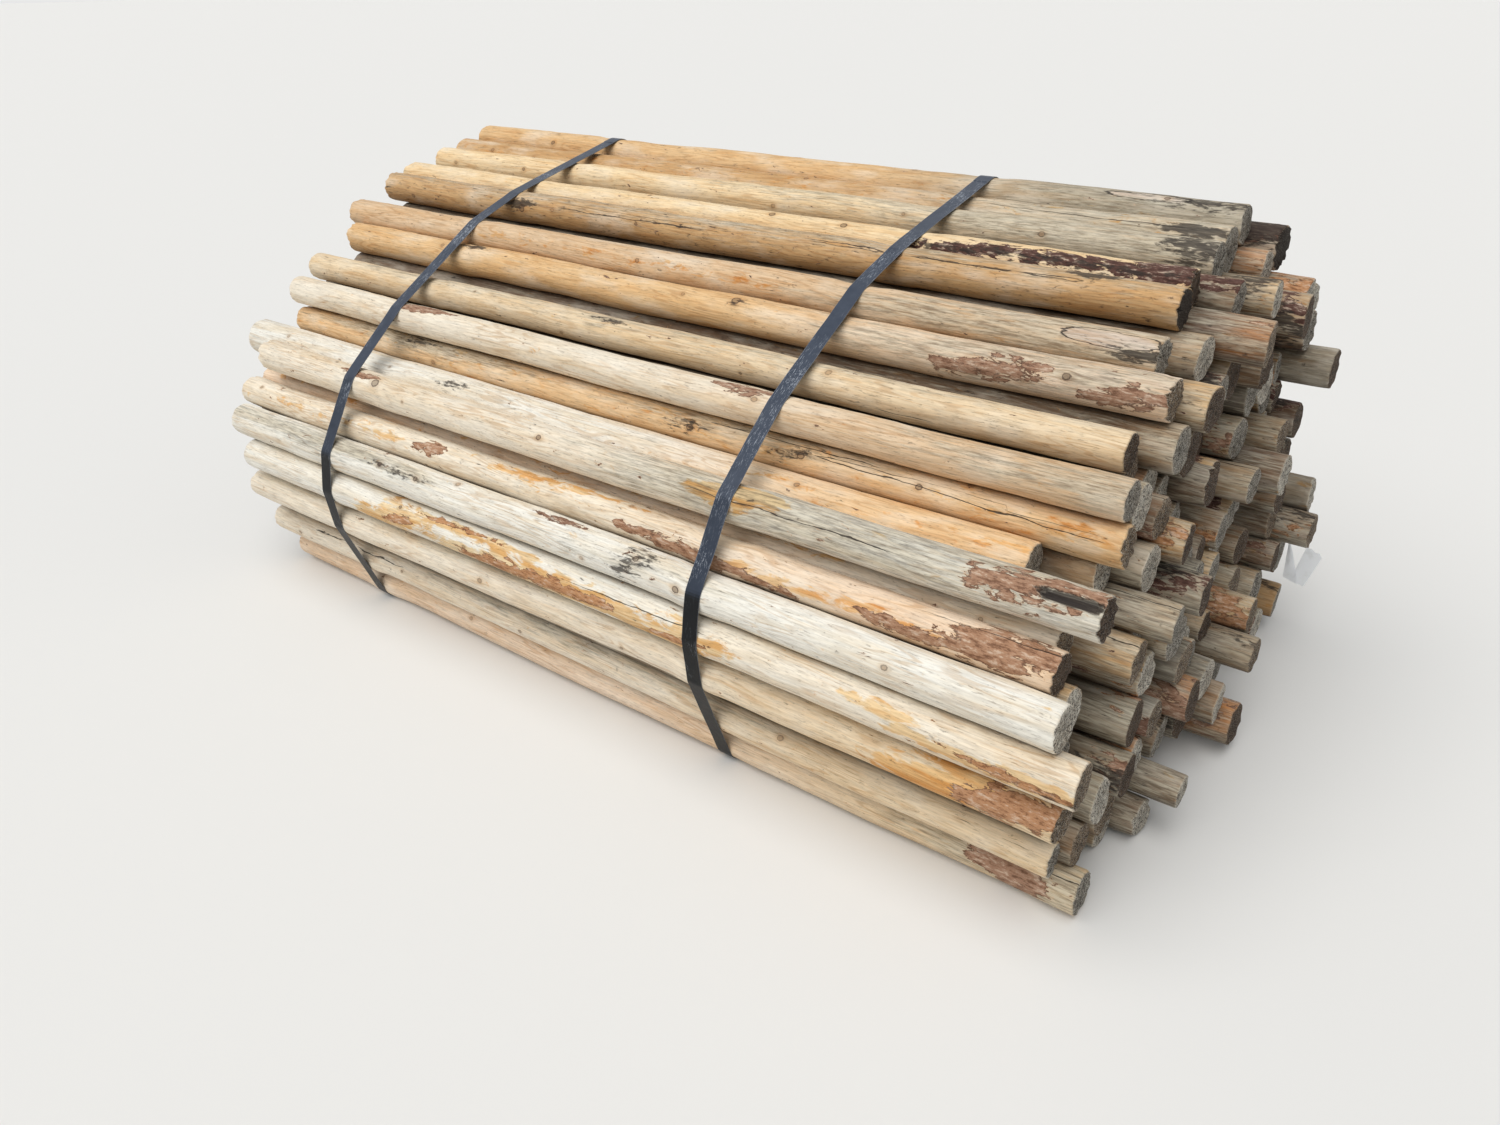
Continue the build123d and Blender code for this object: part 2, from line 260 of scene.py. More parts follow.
def use_group(tree, group, inputs):
    """Place a group in a material with its own values, and return its outputs."""
    return add(tree, "ShaderNodeGroup", inputs, node_tree=group).outputs


def start_material(name):
    """Empty material. Returns it with its tree and its shader."""
    material = bpy.data.materials.new(name)
    material.use_nodes = True
    tree = material.node_tree
    tree.nodes.clear()
    shader = tree.nodes.new("ShaderNodeBsdfPrincipled")
    out = tree.nodes.new("ShaderNodeOutputMaterial")
    tree.links.new(shader.outputs["BSDF"], out.inputs["Surface"])
    return material, tree, shader


def drawn_out(tree, place, stretch):
    """Place with its length shrunk by a socket's value, so that a pattern is drawn out."""
    shrink = sums(tree, "DIVIDE", 1.0, stretch)
    factors = add(tree, "ShaderNodeCombineXYZ", {"X": shrink, "Y": 1.0, "Z": 1.0}).outputs[0]
    return scaled(tree, place, factors)


print("groups so far:", len(bpy.data.node_groups))

# %% [markdown]
# Wood is made of fibres that run along the stem. The same fibres show as long streaks on the
# peeled side and as specks on the sawn end, so the streak pattern is one group that both
# materials use. A noise pattern is drawn out along the post by shrinking its length axis, and
# the sine of a second, calmer noise gives the flame-shaped lines where the peeler cut through
# the yearly growth.

# %% Group: long grain
GROWTH_WAVES = 95.0


def make_grain_group():
    """Fibre streaks, broad streaks, growth lines and a height, from a place in the wood."""
    tree, given, result = start_group(
        "long grain",
        [("Place", VECTOR, None), ("Stretch", NUMBER, 12.0), ("Fineness", NUMBER, 230.0)],
        [("Fibre", NUMBER), ("Streak", NUMBER), ("Growth line", NUMBER), ("Height", NUMBER)])
    drawn = drawn_out(tree, given["Place"], given["Stretch"])
    fineness = given["Fineness"]
    fibre = noise(tree, drawn, fineness, detail=4.0, roughness=0.65)
    streak = noise(tree, drawn, sums(tree, "DIVIDE", fineness, 6.0), roughness=0.6,
                   distortion=0.4)
    calm = noise(tree, drawn, sums(tree, "DIVIDE", fineness, 11.0), detail=2.0, roughness=0.5,
                 distortion=0.3)
    lines = ramp(tree, sums(tree, "SINE", times(tree, calm, GROWTH_WAVES)), 0.1, 0.95)
    height = sums(tree, "MULTIPLY_ADD", fibre, 0.7, times(tree, lines, 0.15))
    fill(tree, result, {"Fibre": fibre, "Streak": streak, "Growth line": lines,
                        "Height": height})
    return tree


GRAIN = make_grain_group()
print("group made:", GRAIN.name)

# %% [markdown]
# A patch of bark, a resin stain and a grey weathered stretch all have one thing in common:
# a soft area painted on the post that breaks up into ragged islands at its edge. This group
# takes the soft area, adds a torn noise to it and cuts it off sharply.

# %% Group: ragged patch
EDGE_WIDTH = 0.1
RIM_WIDTH = 0.09


def make_patch_group():
    """Ragged mask from a soft area, with a border just outside and a rim just inside it."""
    tree, given, result = start_group(
        "ragged patch",
        [("Place", VECTOR, None), ("Area", NUMBER, 0.0), ("Stretch", NUMBER, 4.0),
         ("Fineness", NUMBER, 60.0), ("Tear", NUMBER, 0.8), ("Softness", NUMBER, 0.06)],
        [("Mask", NUMBER), ("Edge", NUMBER), ("Rim", NUMBER)])
    drawn = drawn_out(tree, given["Place"], given["Stretch"])
    torn = noise(tree, drawn, given["Fineness"], detail=5.0, roughness=0.62, distortion=0.5)
    level = sums(tree, "MULTIPLY_ADD", sums(tree, "SUBTRACT", torn, 0.5), given["Tear"],
                 given["Area"])
    low = sums(tree, "SUBTRACT", 0.5, given["Softness"])
    high = sums(tree, "ADD", 0.5, given["Softness"])
    mask = ramp(tree, level, low, high)
    wide = ramp(tree, level, sums(tree, "SUBTRACT", low, EDGE_WIDTH),
                sums(tree, "ADD", high, 0.02))
    deep = ramp(tree, level, high, sums(tree, "ADD", high, RIM_WIDTH))
    fill(tree, result, {"Mask": mask, "Edge": sums(tree, "SUBTRACT", wide, mask, clamp=True),
                        "Rim": sums(tree, "SUBTRACT", mask, deep, clamp=True)})
    return tree


def patch(tree, place, area, stretch, fineness, tear, softness):
    """Place the ragged patch in a material, and return its mask, edge and rim."""
    return use_group(tree, PATCH, {"Place": place, "Area": area, "Stretch": stretch,
                                   "Fineness": fineness, "Tear": tear, "Softness": softness})


PATCH = make_patch_group()
print("group made:", PATCH.name)

# %% [markdown]
# A knot is where a branch grew. On a peeled post it is a small dark disc with a darker rim,
# and the fibres part and close again round it. Each point of the mesh carries its offset from
# the nearest knot, measured in knot sizes, so the disc stays sharp however coarse the mesh is.

# %% Group: knot
KNOT_LENGTHENING = 1.25
FIBRE_TURN = -0.16


def make_knot_group():
    """Disc, rim and halo of a knot, and the place with the fibres led round it."""
    tree, given, result = start_group(
        "knot",
        [("Place", VECTOR, None), ("Offset", VECTOR, None)],
        [("Disc", NUMBER), ("Rim", NUMBER), ("Halo", NUMBER), ("Bent place", VECTOR)])
    place = given["Place"]
    parts = axes(tree, given["Offset"])
    strength = parts["Z"]
    reach = hypotenuse(tree, sums(tree, "DIVIDE", parts["X"], KNOT_LENGTHENING), parts["Y"])
    rough = sums(tree, "SUBTRACT", noise(tree, place, 260.0), 0.5)
    uneven = sums(tree, "MULTIPLY_ADD", rough, 0.7, reach)
    disc = times(tree, ramp(tree, uneven, 1.0, 0.75), strength)
    outer = times(tree, ramp(tree, uneven, 1.35, 1.05), strength)
    halo = times(tree, ramp(tree, uneven, 3.4, 1.0), strength)
    closeness = sums(tree, "DIVIDE", strength, sums(tree, "MULTIPLY_ADD", reach, reach, 1.0))
    turn = times(tree, times(tree, parts["Y"], closeness), FIBRE_TURN)
    spin = add(tree, "ShaderNodeVectorMath", {0: (1.0, 0.0, 0.0), 1: place},
               operation="CROSS_PRODUCT").outputs["Vector"]
    shift = add(tree, "ShaderNodeVectorMath", {0: spin, "Scale": turn},
                operation="SCALE").outputs["Vector"]
    bent = add(tree, "ShaderNodeVectorMath", {0: place, 1: shift}).outputs["Vector"]
    fill(tree, result, {"Disc": disc, "Rim": sums(tree, "SUBTRACT", outer, disc, clamp=True),
                        "Halo": halo, "Bent place": bent})
    return tree


KNOT = make_knot_group()
print("group made:", KNOT.name)

# %% [markdown]
# The peeled side of a post comes in coats, in the order in which they lie on the real wood,
# and each coat is a function that lays itself over the colour so far. First the bare wood. Its
# base colour comes from the post itself, written on the mesh, because no two stems have the
# same. Freshly peeled softwood is far paler than one thinks of wood. What makes it read as
# wood is the great number of fine dark fibre ends, so the streaks are kept faint and the
# fibres many.
#
# In every ramp below, the first two numbers are the values between which a coat comes in. A
# noise stays mostly between 0.3 and 0.7, so limits near 0.5 cover about half of the wood.

# %% Coat: bare wood
BLEACHED = paint(243, 236, 220)
WARM_STREAK = paint(240, 220, 188)
GROWTH_BROWN = paint(212, 182, 146)
FIBRE_DARK = paint(112, 92, 72)


def bare_wood(tree, place, tone, grain):
    """Colour of the bare wood, and a mask of its dark fibre ends."""
    shade = ramp(tree, grain["Streak"], 0.38, 0.7, 0.0, 0.5)
    colour = blend(tree, shade, tone, tinted(tree, tone, WARM_STREAK))
    blotch = noise(tree, scaled(tree, place, (0.3, 1.0, 1.0)), 20.0, roughness=0.6)
    colour = blend(tree, ramp(tree, blotch, 0.46, 0.72, 0.0, 0.34), colour, BLEACHED)
    calm = ramp(tree, blotch, 0.6, 0.36, 0.05, 0.45)
    lined = times(tree, grain["Growth line"], calm)
    colour = blend(tree, lined, colour, tinted(tree, colour, GROWTH_BROWN))
    fine = ramp(tree, grain["Fibre"], 0.32, 0.68, 0.85, 1.07)
    grey = add(tree, "ShaderNodeCombineXYZ", {0: fine, 1: fine, 2: fine}).outputs[0]
    colour = tinted(tree, colour, grey)
    dashes = noise(tree, scaled(tree, place, (0.07, 1.0, 1.0)), 520.0, detail=2.0,
                   roughness=0.7)
    dashes = ramp(tree, dashes, 0.6, 0.72, 0.0, 0.7)
    return blend(tree, dashes, colour, blend(tree, 0.6, colour, FIBRE_DARK)), dashes


print("a bleached blotch reflects", round(BLEACHED[1], 2), "of green light")

# %% [markdown]
# Rain and sun turn the outermost fibres silver grey, and resin soaks in and leaves a honey
# coloured, see-through stain. The grey is a new colour over the old one. The stain only tints
# what is under it, so the grain still shows.

# %% Coats: grey weather and resin
WEATHERED_GREY = paint(194, 186, 165)
WEATHERED_DARK = paint(104, 95, 80)
RESIN = paint(252, 230, 194)
RESIN_DEEP = paint(240, 196, 138)


def weathered(tree, place, colour, grain, area):
    """Grey wood laid over a colour, and its mask."""
    mask = patch(tree, place, area, stretch=12.0, fineness=120.0, tear=2.2,
                 softness=0.4)["Mask"]
    ashen = blend(tree, ramp(tree, grain["Fibre"], 0.34, 0.62), WEATHERED_DARK, WEATHERED_GREY)
    ashen = blend(tree, 0.25, ashen, colour)
    return blend(tree, times(tree, mask, 0.9), colour, ashen), mask


def resinous(tree, place, colour, grain, area):
    """Resin stain laid over a colour."""
    mask = patch(tree, place, area, stretch=3.0, fineness=52.0, tear=2.4,
                 softness=0.16)["Mask"]
    honey = blend(tree, ramp(tree, grain["Streak"], 0.42, 0.62), RESIN, RESIN_DEEP)
    return blend(tree, mask, colour, tinted(tree, colour, honey))


print("old resin passes", round(RESIN_DEEP[2] / RESIN_DEEP[0], 2), "as much blue as red")

# %% [markdown]
# The peeler leaves ribbons of bark. A ribbon is flaky, from dark purple to light orange by the
# kind of tree, with a dark rim, partly the bark's own colour and partly a painted shadow under
# its lifted edge, and the wood just outside it keeps a pink or amber film of inner bark. The
# ragged patch gives all three masks: the ribbon, its rim and its edge.

# %% Coat: bark
BARK_DARK = paint(88, 60, 52)
BARK_PINK = paint(160, 124, 100)
BARK_ORANGE = paint(186, 136, 94)
BARK_SHADOW = paint(158, 138, 126)
BARK_RIM_AND_SHADOW = paint(96, 70, 56)
BARK_PALE = paint(212, 190, 168)
BORDER_PINK = paint(204, 172, 150)
BORDER_AMBER = paint(224, 166, 98)


def barked(tree, place, colour, kind, area):
    """Bark laid over a colour, its mask and the flakes that it breaks up into."""
    bark = patch(tree, place, area, stretch=3.0, fineness=64.0, tear=2.5, softness=0.03)
    flakes = noise(tree, scaled(tree, place, (0.3, 1.0, 1.0)), 130.0, detail=5.0,
                   roughness=0.7)
    hide = blend(tree, ramp(tree, kind, 0.0, 0.5), BARK_DARK, BARK_PINK)
    hide = blend(tree, ramp(tree, kind, 0.5, 1.0), hide, BARK_ORANGE)
    hide = blend(tree, ramp(tree, flakes, 0.5, 0.36, 0.0, 0.8), hide,
                 tinted(tree, hide, BARK_SHADOW))
    hide = blend(tree, ramp(tree, flakes, 0.52, 0.64, 0.0, 0.65), hide, BARK_PALE)
    border = blend(tree, kind, BORDER_PINK, BORDER_AMBER)
    colour = blend(tree, times(tree, bark["Edge"], 0.75), colour, border)
    colour = blend(tree, bark["Mask"], colour, hide)
    # Dark rim of the bark: its own colour and a painted shadow under its lifted edge
    colour = blend(tree, times(tree, bark["Rim"], 0.75), colour, BARK_RIM_AND_SHADOW)
    return colour, bark["Mask"], flakes


print("red light from dark, pink and orange bark:",
      [round(bark[0], 2) for bark in (BARK_DARK, BARK_PINK, BARK_ORANGE)])

# %% [markdown]
# Small dark things come next: flecks of mould and old scars, knots, drying cracks, and painted
# shade where two posts touch. A crack could be cut into the mesh, but it is thinner than the
# mesh is fine. So the mesh only says how far each point is from the middle of a crack, and the
# shader draws the line.

# %% Coats: flecks, knots, cracks and painted shade
CHARRED = paint(40, 33, 29)
FLECK_BROWN = paint(66, 58, 50)
KNOT_BROWN = paint(160, 124, 88)
KNOT_RIM = paint(66, 48, 38)
# Brown of the painted shade in the gaps between the posts
GAP_SHADE_BROWN = paint(92, 74, 58)
CRACK_WANDER = 0.016
CRACK_WIDTH = 0.0007


def flecked(tree, place, colour, grain, area):
    """Dark flecks laid over a colour, and their mask. Past 1 the area is a solid dark pit."""
    mask = patch(tree, place, area, stretch=3.5, fineness=130.0, tear=2.4,
                 softness=0.2)["Mask"]
    coal = blend(tree, ramp(tree, grain["Fibre"], 0.46, 0.62), CHARRED, FLECK_BROWN)
    colour = blend(tree, times(tree, mask, 0.88), colour, coal)
    return blend(tree, ramp(tree, area, 1.05, 1.3), colour, coal), mask


def knotted(tree, colour, knot, darkness):
    """Knots laid over a colour."""
    colour = blend(tree, times(tree, knot["Halo"], 0.35), colour,
                   tinted(tree, colour, GROWTH_BROWN))
    core = blend(tree, darkness, KNOT_BROWN, KNOT_RIM)
    colour = blend(tree, times(tree, knot["Disc"], 0.45), colour, core)
    rim = times(tree, knot["Rim"], sums(tree, "MULTIPLY_ADD", darkness, 0.5, 0.35))
    return blend(tree, rim, colour, KNOT_RIM)


def cracked(tree, place, colour, across, openness):
    """Drying cracks laid over a colour, and their mask."""
    wander = noise(tree, scaled(tree, place, (0.2, 1.0, 1.0)), 60.0)
    apart = sums(tree, "MULTIPLY_ADD", sums(tree, "SUBTRACT", wander, 0.5), CRACK_WANDER, across)
    width = times(tree, openness, CRACK_WIDTH)
    gap = ramp(tree, sums(tree, "SUBTRACT", sums(tree, "ABSOLUTE", apart), width),
               0.0005, -0.0002)
    gap = times(tree, gap, ramp(tree, openness, 0.05, 0.25))
    return blend(tree, times(tree, gap, 0.9), colour, CHARRED), gap


def gap_shaded(tree, colour, most):
    """Colour darkened by painted shade in the gaps between the posts."""
    share = times(tree, painted(tree, "gap_shade")["Fac"], most)
    return blend(tree, share, colour, tinted(tree, colour, GAP_SHADE_BROWN))


print("widest crack in mm:", 2000 * CRACK_WIDTH)

# %% [markdown]
# Now the coats go over each other. Colour alone would look printed, so the same masks also
# raise the bark and the knots and sink the cracks, the flecks and the fibre ends as a bump.

# %% Material: peeled wood


def make_peeled_wood():
    """Side of a post, peeled of its bark."""
    material, tree, shader = start_material("peeled_wood")
    place = painted(tree, "wood")["Vector"]
    marks = painted(tree, "marks")
    areas = add(tree, "ShaderNodeSeparateColor", {0: marks["Color"]}).outputs
    nearest = painted(tree, "knot")
    split = axes(tree, painted(tree, "crack")["Vector"])
    knot = use_group(tree, KNOT, {"Place": place, "Offset": nearest["Vector"]})
    grain = use_group(tree, GRAIN, {"Place": knot["Bent place"]})

    colour, dashes = bare_wood(tree, place, painted(tree, "tone")["Color"], grain)
    colour, grey = weathered(tree, place, colour, grain, areas["Green"])
    colour = resinous(tree, place, colour, grain, marks["Alpha"])
    colour, bark, flakes = barked(tree, place, colour, split["Z"], areas["Red"])
    colour, fleck = flecked(tree, place, colour, grain, areas["Blue"])
    colour = knotted(tree, colour, knot, nearest["Alpha"])
    colour, gap = cracked(tree, place, colour, split["X"], split["Y"])
    # Painted shade where the post lies close to a neighbour
    colour = gap_shaded(tree, colour, 0.5)

    rough = sums(tree, "MULTIPLY_ADD", grain["Fibre"], 0.18, 0.6)
    rough = sums(tree, "MULTIPLY_ADD", bark, 0.12, rough)
    height = sums(tree, "MULTIPLY_ADD", dashes, -0.6, times(tree, grain["Height"], 0.6))
    height = sums(tree, "MULTIPLY_ADD", bark, sums(tree, "ADD", flakes, 0.8), height)
    for mask, rise in ((fleck, -0.5), (knot["Rim"], -0.7), (knot["Disc"], 0.4), (gap, -2.0)):
        height = sums(tree, "MULTIPLY_ADD", mask, rise, height)
    height = sums(tree, "MULTIPLY_ADD", grey, times(tree, grain["Fibre"], 0.9), height)
    fill(tree, shader, {"Base Color": colour, "Roughness": rough, "Specular IOR Level": 0.3,
                        "Normal": bumped(tree, height, distance=0.0014, strength=0.9)})
    return material


PEELED_WOOD = make_peeled_wood()
print("material made:", PEELED_WOOD.name, "with", len(PEELED_WOOD.node_tree.nodes), "nodes")

# %% [markdown]
# The sawn end. A chain saw leaves a fibrous, furry face that greys first of all, with the
# yearly rings faint under the fuzz and a few drying cracks that run out from the middle. The
# rings could be a picture, but the sine of the distance from the middle draws them at any size.

# %% Material: sawn end
RING_WAVES = 1900.0
RING_BROWN = paint(176, 148, 116)
END_STAIN = paint(168, 146, 120)
END_PIT = paint(50, 42, 36)
END_FUZZ = paint(238, 232, 218)


def end_cracks(tree, parts, across):
    """Mask of cracks that run out from the middle of an end and die out towards its rim."""
    bearing = sums(tree, "ARCTAN2", parts["Z"], parts["Y"])
    around = add(tree, "ShaderNodeCombineXYZ", {0: parts["X"], 1: bearing, 2: 0.0}).outputs[0]
    spokes = noise(tree, around, 2.6, detail=4.0, roughness=0.75)
    line = ramp(tree, sums(tree, "ABSOLUTE", sums(tree, "SUBTRACT", spokes, 0.5)), 0.018, 0.004)
    return times(tree, line, ramp(tree, across, 0.044, 0.012))


def make_sawn_end():
    """End face of a post, with rings, fuzz and drying cracks."""
    material, tree, shader = start_material("sawn_end")
    place = painted(tree, "wood")["Vector"]
    tone = painted(tree, "tone")["Color"]
    parts = axes(tree, place)
    across = hypotenuse(tree, parts["Y"], parts["Z"])
    reach = sums(tree, "MULTIPLY_ADD", noise(tree, place, 28.0, detail=2.0), 0.006, across)
    rings = ramp(tree, sums(tree, "SINE", times(tree, reach, RING_WAVES)), -0.4, 1.0)
    grain = use_group(tree, GRAIN, {"Place": place, "Stretch": 1.0, "Fineness": 420.0})
    crack = end_cracks(tree, parts, across)

    colour = blend(tree, times(tree, rings, 0.25), tone, tinted(tree, tone, RING_BROWN))
    stain = patch(tree, place, 0.45, stretch=1.0, fineness=45.0, tear=1.4, softness=0.3)
    colour = blend(tree, times(tree, stain["Mask"], 0.6), colour,
                   tinted(tree, colour, END_STAIN))
    tufts = noise(tree, place, 170.0, detail=4.0, roughness=0.75)
    colour = blend(tree, ramp(tree, tufts, 0.52, 0.4, 0.0, 0.9), colour, END_PIT)
    pale = add(tree, "ShaderNodeSeparateColor", {0: tone}).outputs["Red"]
    fuzz = sums(tree, "MULTIPLY_ADD", pale, 1.6, 0.06, clamp=True)
    fuzz = times(tree, fuzz, ramp(tree, grain["Fibre"], 0.53, 0.61, 0.0, 0.95))
    colour = blend(tree, fuzz, colour, END_FUZZ)
    colour = blend(tree, ramp(tree, grain["Fibre"], 0.46, 0.38, 0.0, 0.75), colour, END_PIT)
    colour = blend(tree, times(tree, crack, 0.85), colour, CHARRED)
    # Painted shade where the end lies close to a neighbour
    colour = gap_shaded(tree, colour, 0.7)

    height = sums(tree, "MULTIPLY_ADD", grain["Fibre"], 1.4, times(tree, tufts, 2.2))
    height = sums(tree, "MULTIPLY_ADD", crack, -2.0, height)
    fill(tree, shader, {"Base Color": colour, "Specular IOR Level": 0.2,
                        "Roughness": sums(tree, "MULTIPLY_ADD", grain["Fibre"], 0.1, 0.85),
                        "Normal": bumped(tree, height, distance=0.0022, strength=1.0)})
    return material


SAWN_END = make_sawn_end()
print("material made:", SAWN_END.name, "with", len(SAWN_END.node_tree.nodes), "nodes")

# %% [markdown]
# The frame groups the posts in layers, one node each. A node's mesh is a cloud of triangles,
# so to find the posts in it the cell below joins triangles that share a corner, and reads
# each group's axis, radius and ends. Posts on the outside of the bundle are true rounds in the
# frame, and the buried ones have flat sides, which tells the two apart.

# %% Measure the posts of the frame
FLAT_SIDES = 16


class Post:
    """Place and size of one post of the frame, and the looks it is given later."""

    def __init__(self, layer, corners):
        middle = (corners[:, 0].min() + corners[:, 0].max()) / 2
        rim = corners[corners[:, 0] < middle]
        self.layer = layer
        self.y, self.z = rim[:, 1:].mean(0)
        self.radius = float(np.hypot(rim[:, 1] - self.y, rim[:, 2] - self.z).max())
        self.far = float(corners[:, 0].min())
        self.near = float(corners[:, 0].max())
        self.outer = len(rim) > FLAT_SIDES + 2


def welded(node, digits):
    """Corners of a node, joined where they agree to so many digits, and its triangles."""
    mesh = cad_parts[node].data
    places = np.empty(len(mesh.vertices) * 3)
    mesh.vertices.foreach_get("co", places)
    rounded = np.round(places.reshape(-1, 3), digits)
    corners, same = np.unique(rounded, axis=0, return_inverse=True)
    mesh.calc_loop_triangles()
    used = np.empty(len(mesh.loop_triangles) * 3, np.int32)
    mesh.loop_triangles.foreach_get("vertices", used)
    return corners, same.reshape(-1)[used].reshape(-1, 3)


def posts_of(layer):
    """Posts in one layer of the frame, each a group of triangles that hang together."""
    corners, triangles = welded(layer, 5)
    label = np.arange(len(corners))
    while True:
        lowest = label[triangles].min(1)
        before = label.copy()
        for side in range(3):
            np.minimum.at(label, triangles[:, side], lowest)
        if (label == before).all():
            break
    return [Post(layer, corners[label == one]) for one in np.unique(label)]


LAYERS = sorted(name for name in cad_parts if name.startswith("post_layer"))
POSTS = [post for layer in LAYERS for post in posts_of(layer)]
OUTER_POSTS = [post for post in POSTS if post.outer]
print(len(POSTS), "posts,", len(OUTER_POSTS), "of them on the outside")

# %% [markdown]
# Every post has a tone at its near end and another at its far end, a tone for its sawn ends,
# and a habit: how much of it has bark, grey, flecks or stain all over, which the ragged
# patches turn into scattered streaks. Every tone could be thrown by the dice, but about
# twenty named ones, used again and again, hold the bundle together, as one wood does.

# %% Tones and habits of the posts
TONES = {
    "white": paint(232, 228, 217),
    "cream": paint(231, 219, 199),
    "tan": paint(212, 197, 173),
    "deep_tan": paint(188, 170, 145),
    "gold": paint(238, 212, 170),
    "amber": paint(222, 186, 138),
    "brown": paint(186, 160, 128),
    "peach": paint(232, 208, 182),
    "pink": paint(226, 204, 186),
    "drab": paint(172, 160, 140),
    "dark": paint(124, 98, 76),
    "umber": paint(146, 118, 90),
    "rust": paint(186, 128, 76),
    "slate": paint(128, 120, 108),
    "toasted": paint(202, 164, 116),
    "honey": paint(228, 193, 148),
    "sand": paint(216, 186, 150),
    "straw": paint(226, 204, 170),
}
END_TONES = {
    "pale": paint(228, 222, 208),
    "grey": paint(172, 167, 156),
    "dun": paint(150, 130, 106),
    "brown": paint(100, 80, 62),
    "black": paint(58, 50, 44),
}
# Shares of bark, grey, flecks and resin all over a post
PLAIN = (0.0, 0.0, 0.0, 0.0)
GREYED = (0.0, 0.2, 0.04, 0.0)
STAINED = (0.0, 0.0, 0.04, 0.2)
FLECKED = (0.0, 0.1, 0.12, 0.0)
WORN = (0.0, 0.34, 0.12, 0.1)
print(len(TONES), "tones and", len(END_TONES), "tones of sawn ends")

# %% [markdown]
# The front posts are written down one by one, from the ground up, because they are what
# everyone sees. Each has its tones, its habit, its kind of bark from 0, dark and purple, to 1,
# light and orange, and its marks. A mark is its kind, where it starts and stops in metres from
# the near end, how many degrees up from the front it lies at each, and its width in metres.
# A number after that below 1 thins the patch out, until only islands of it are left.

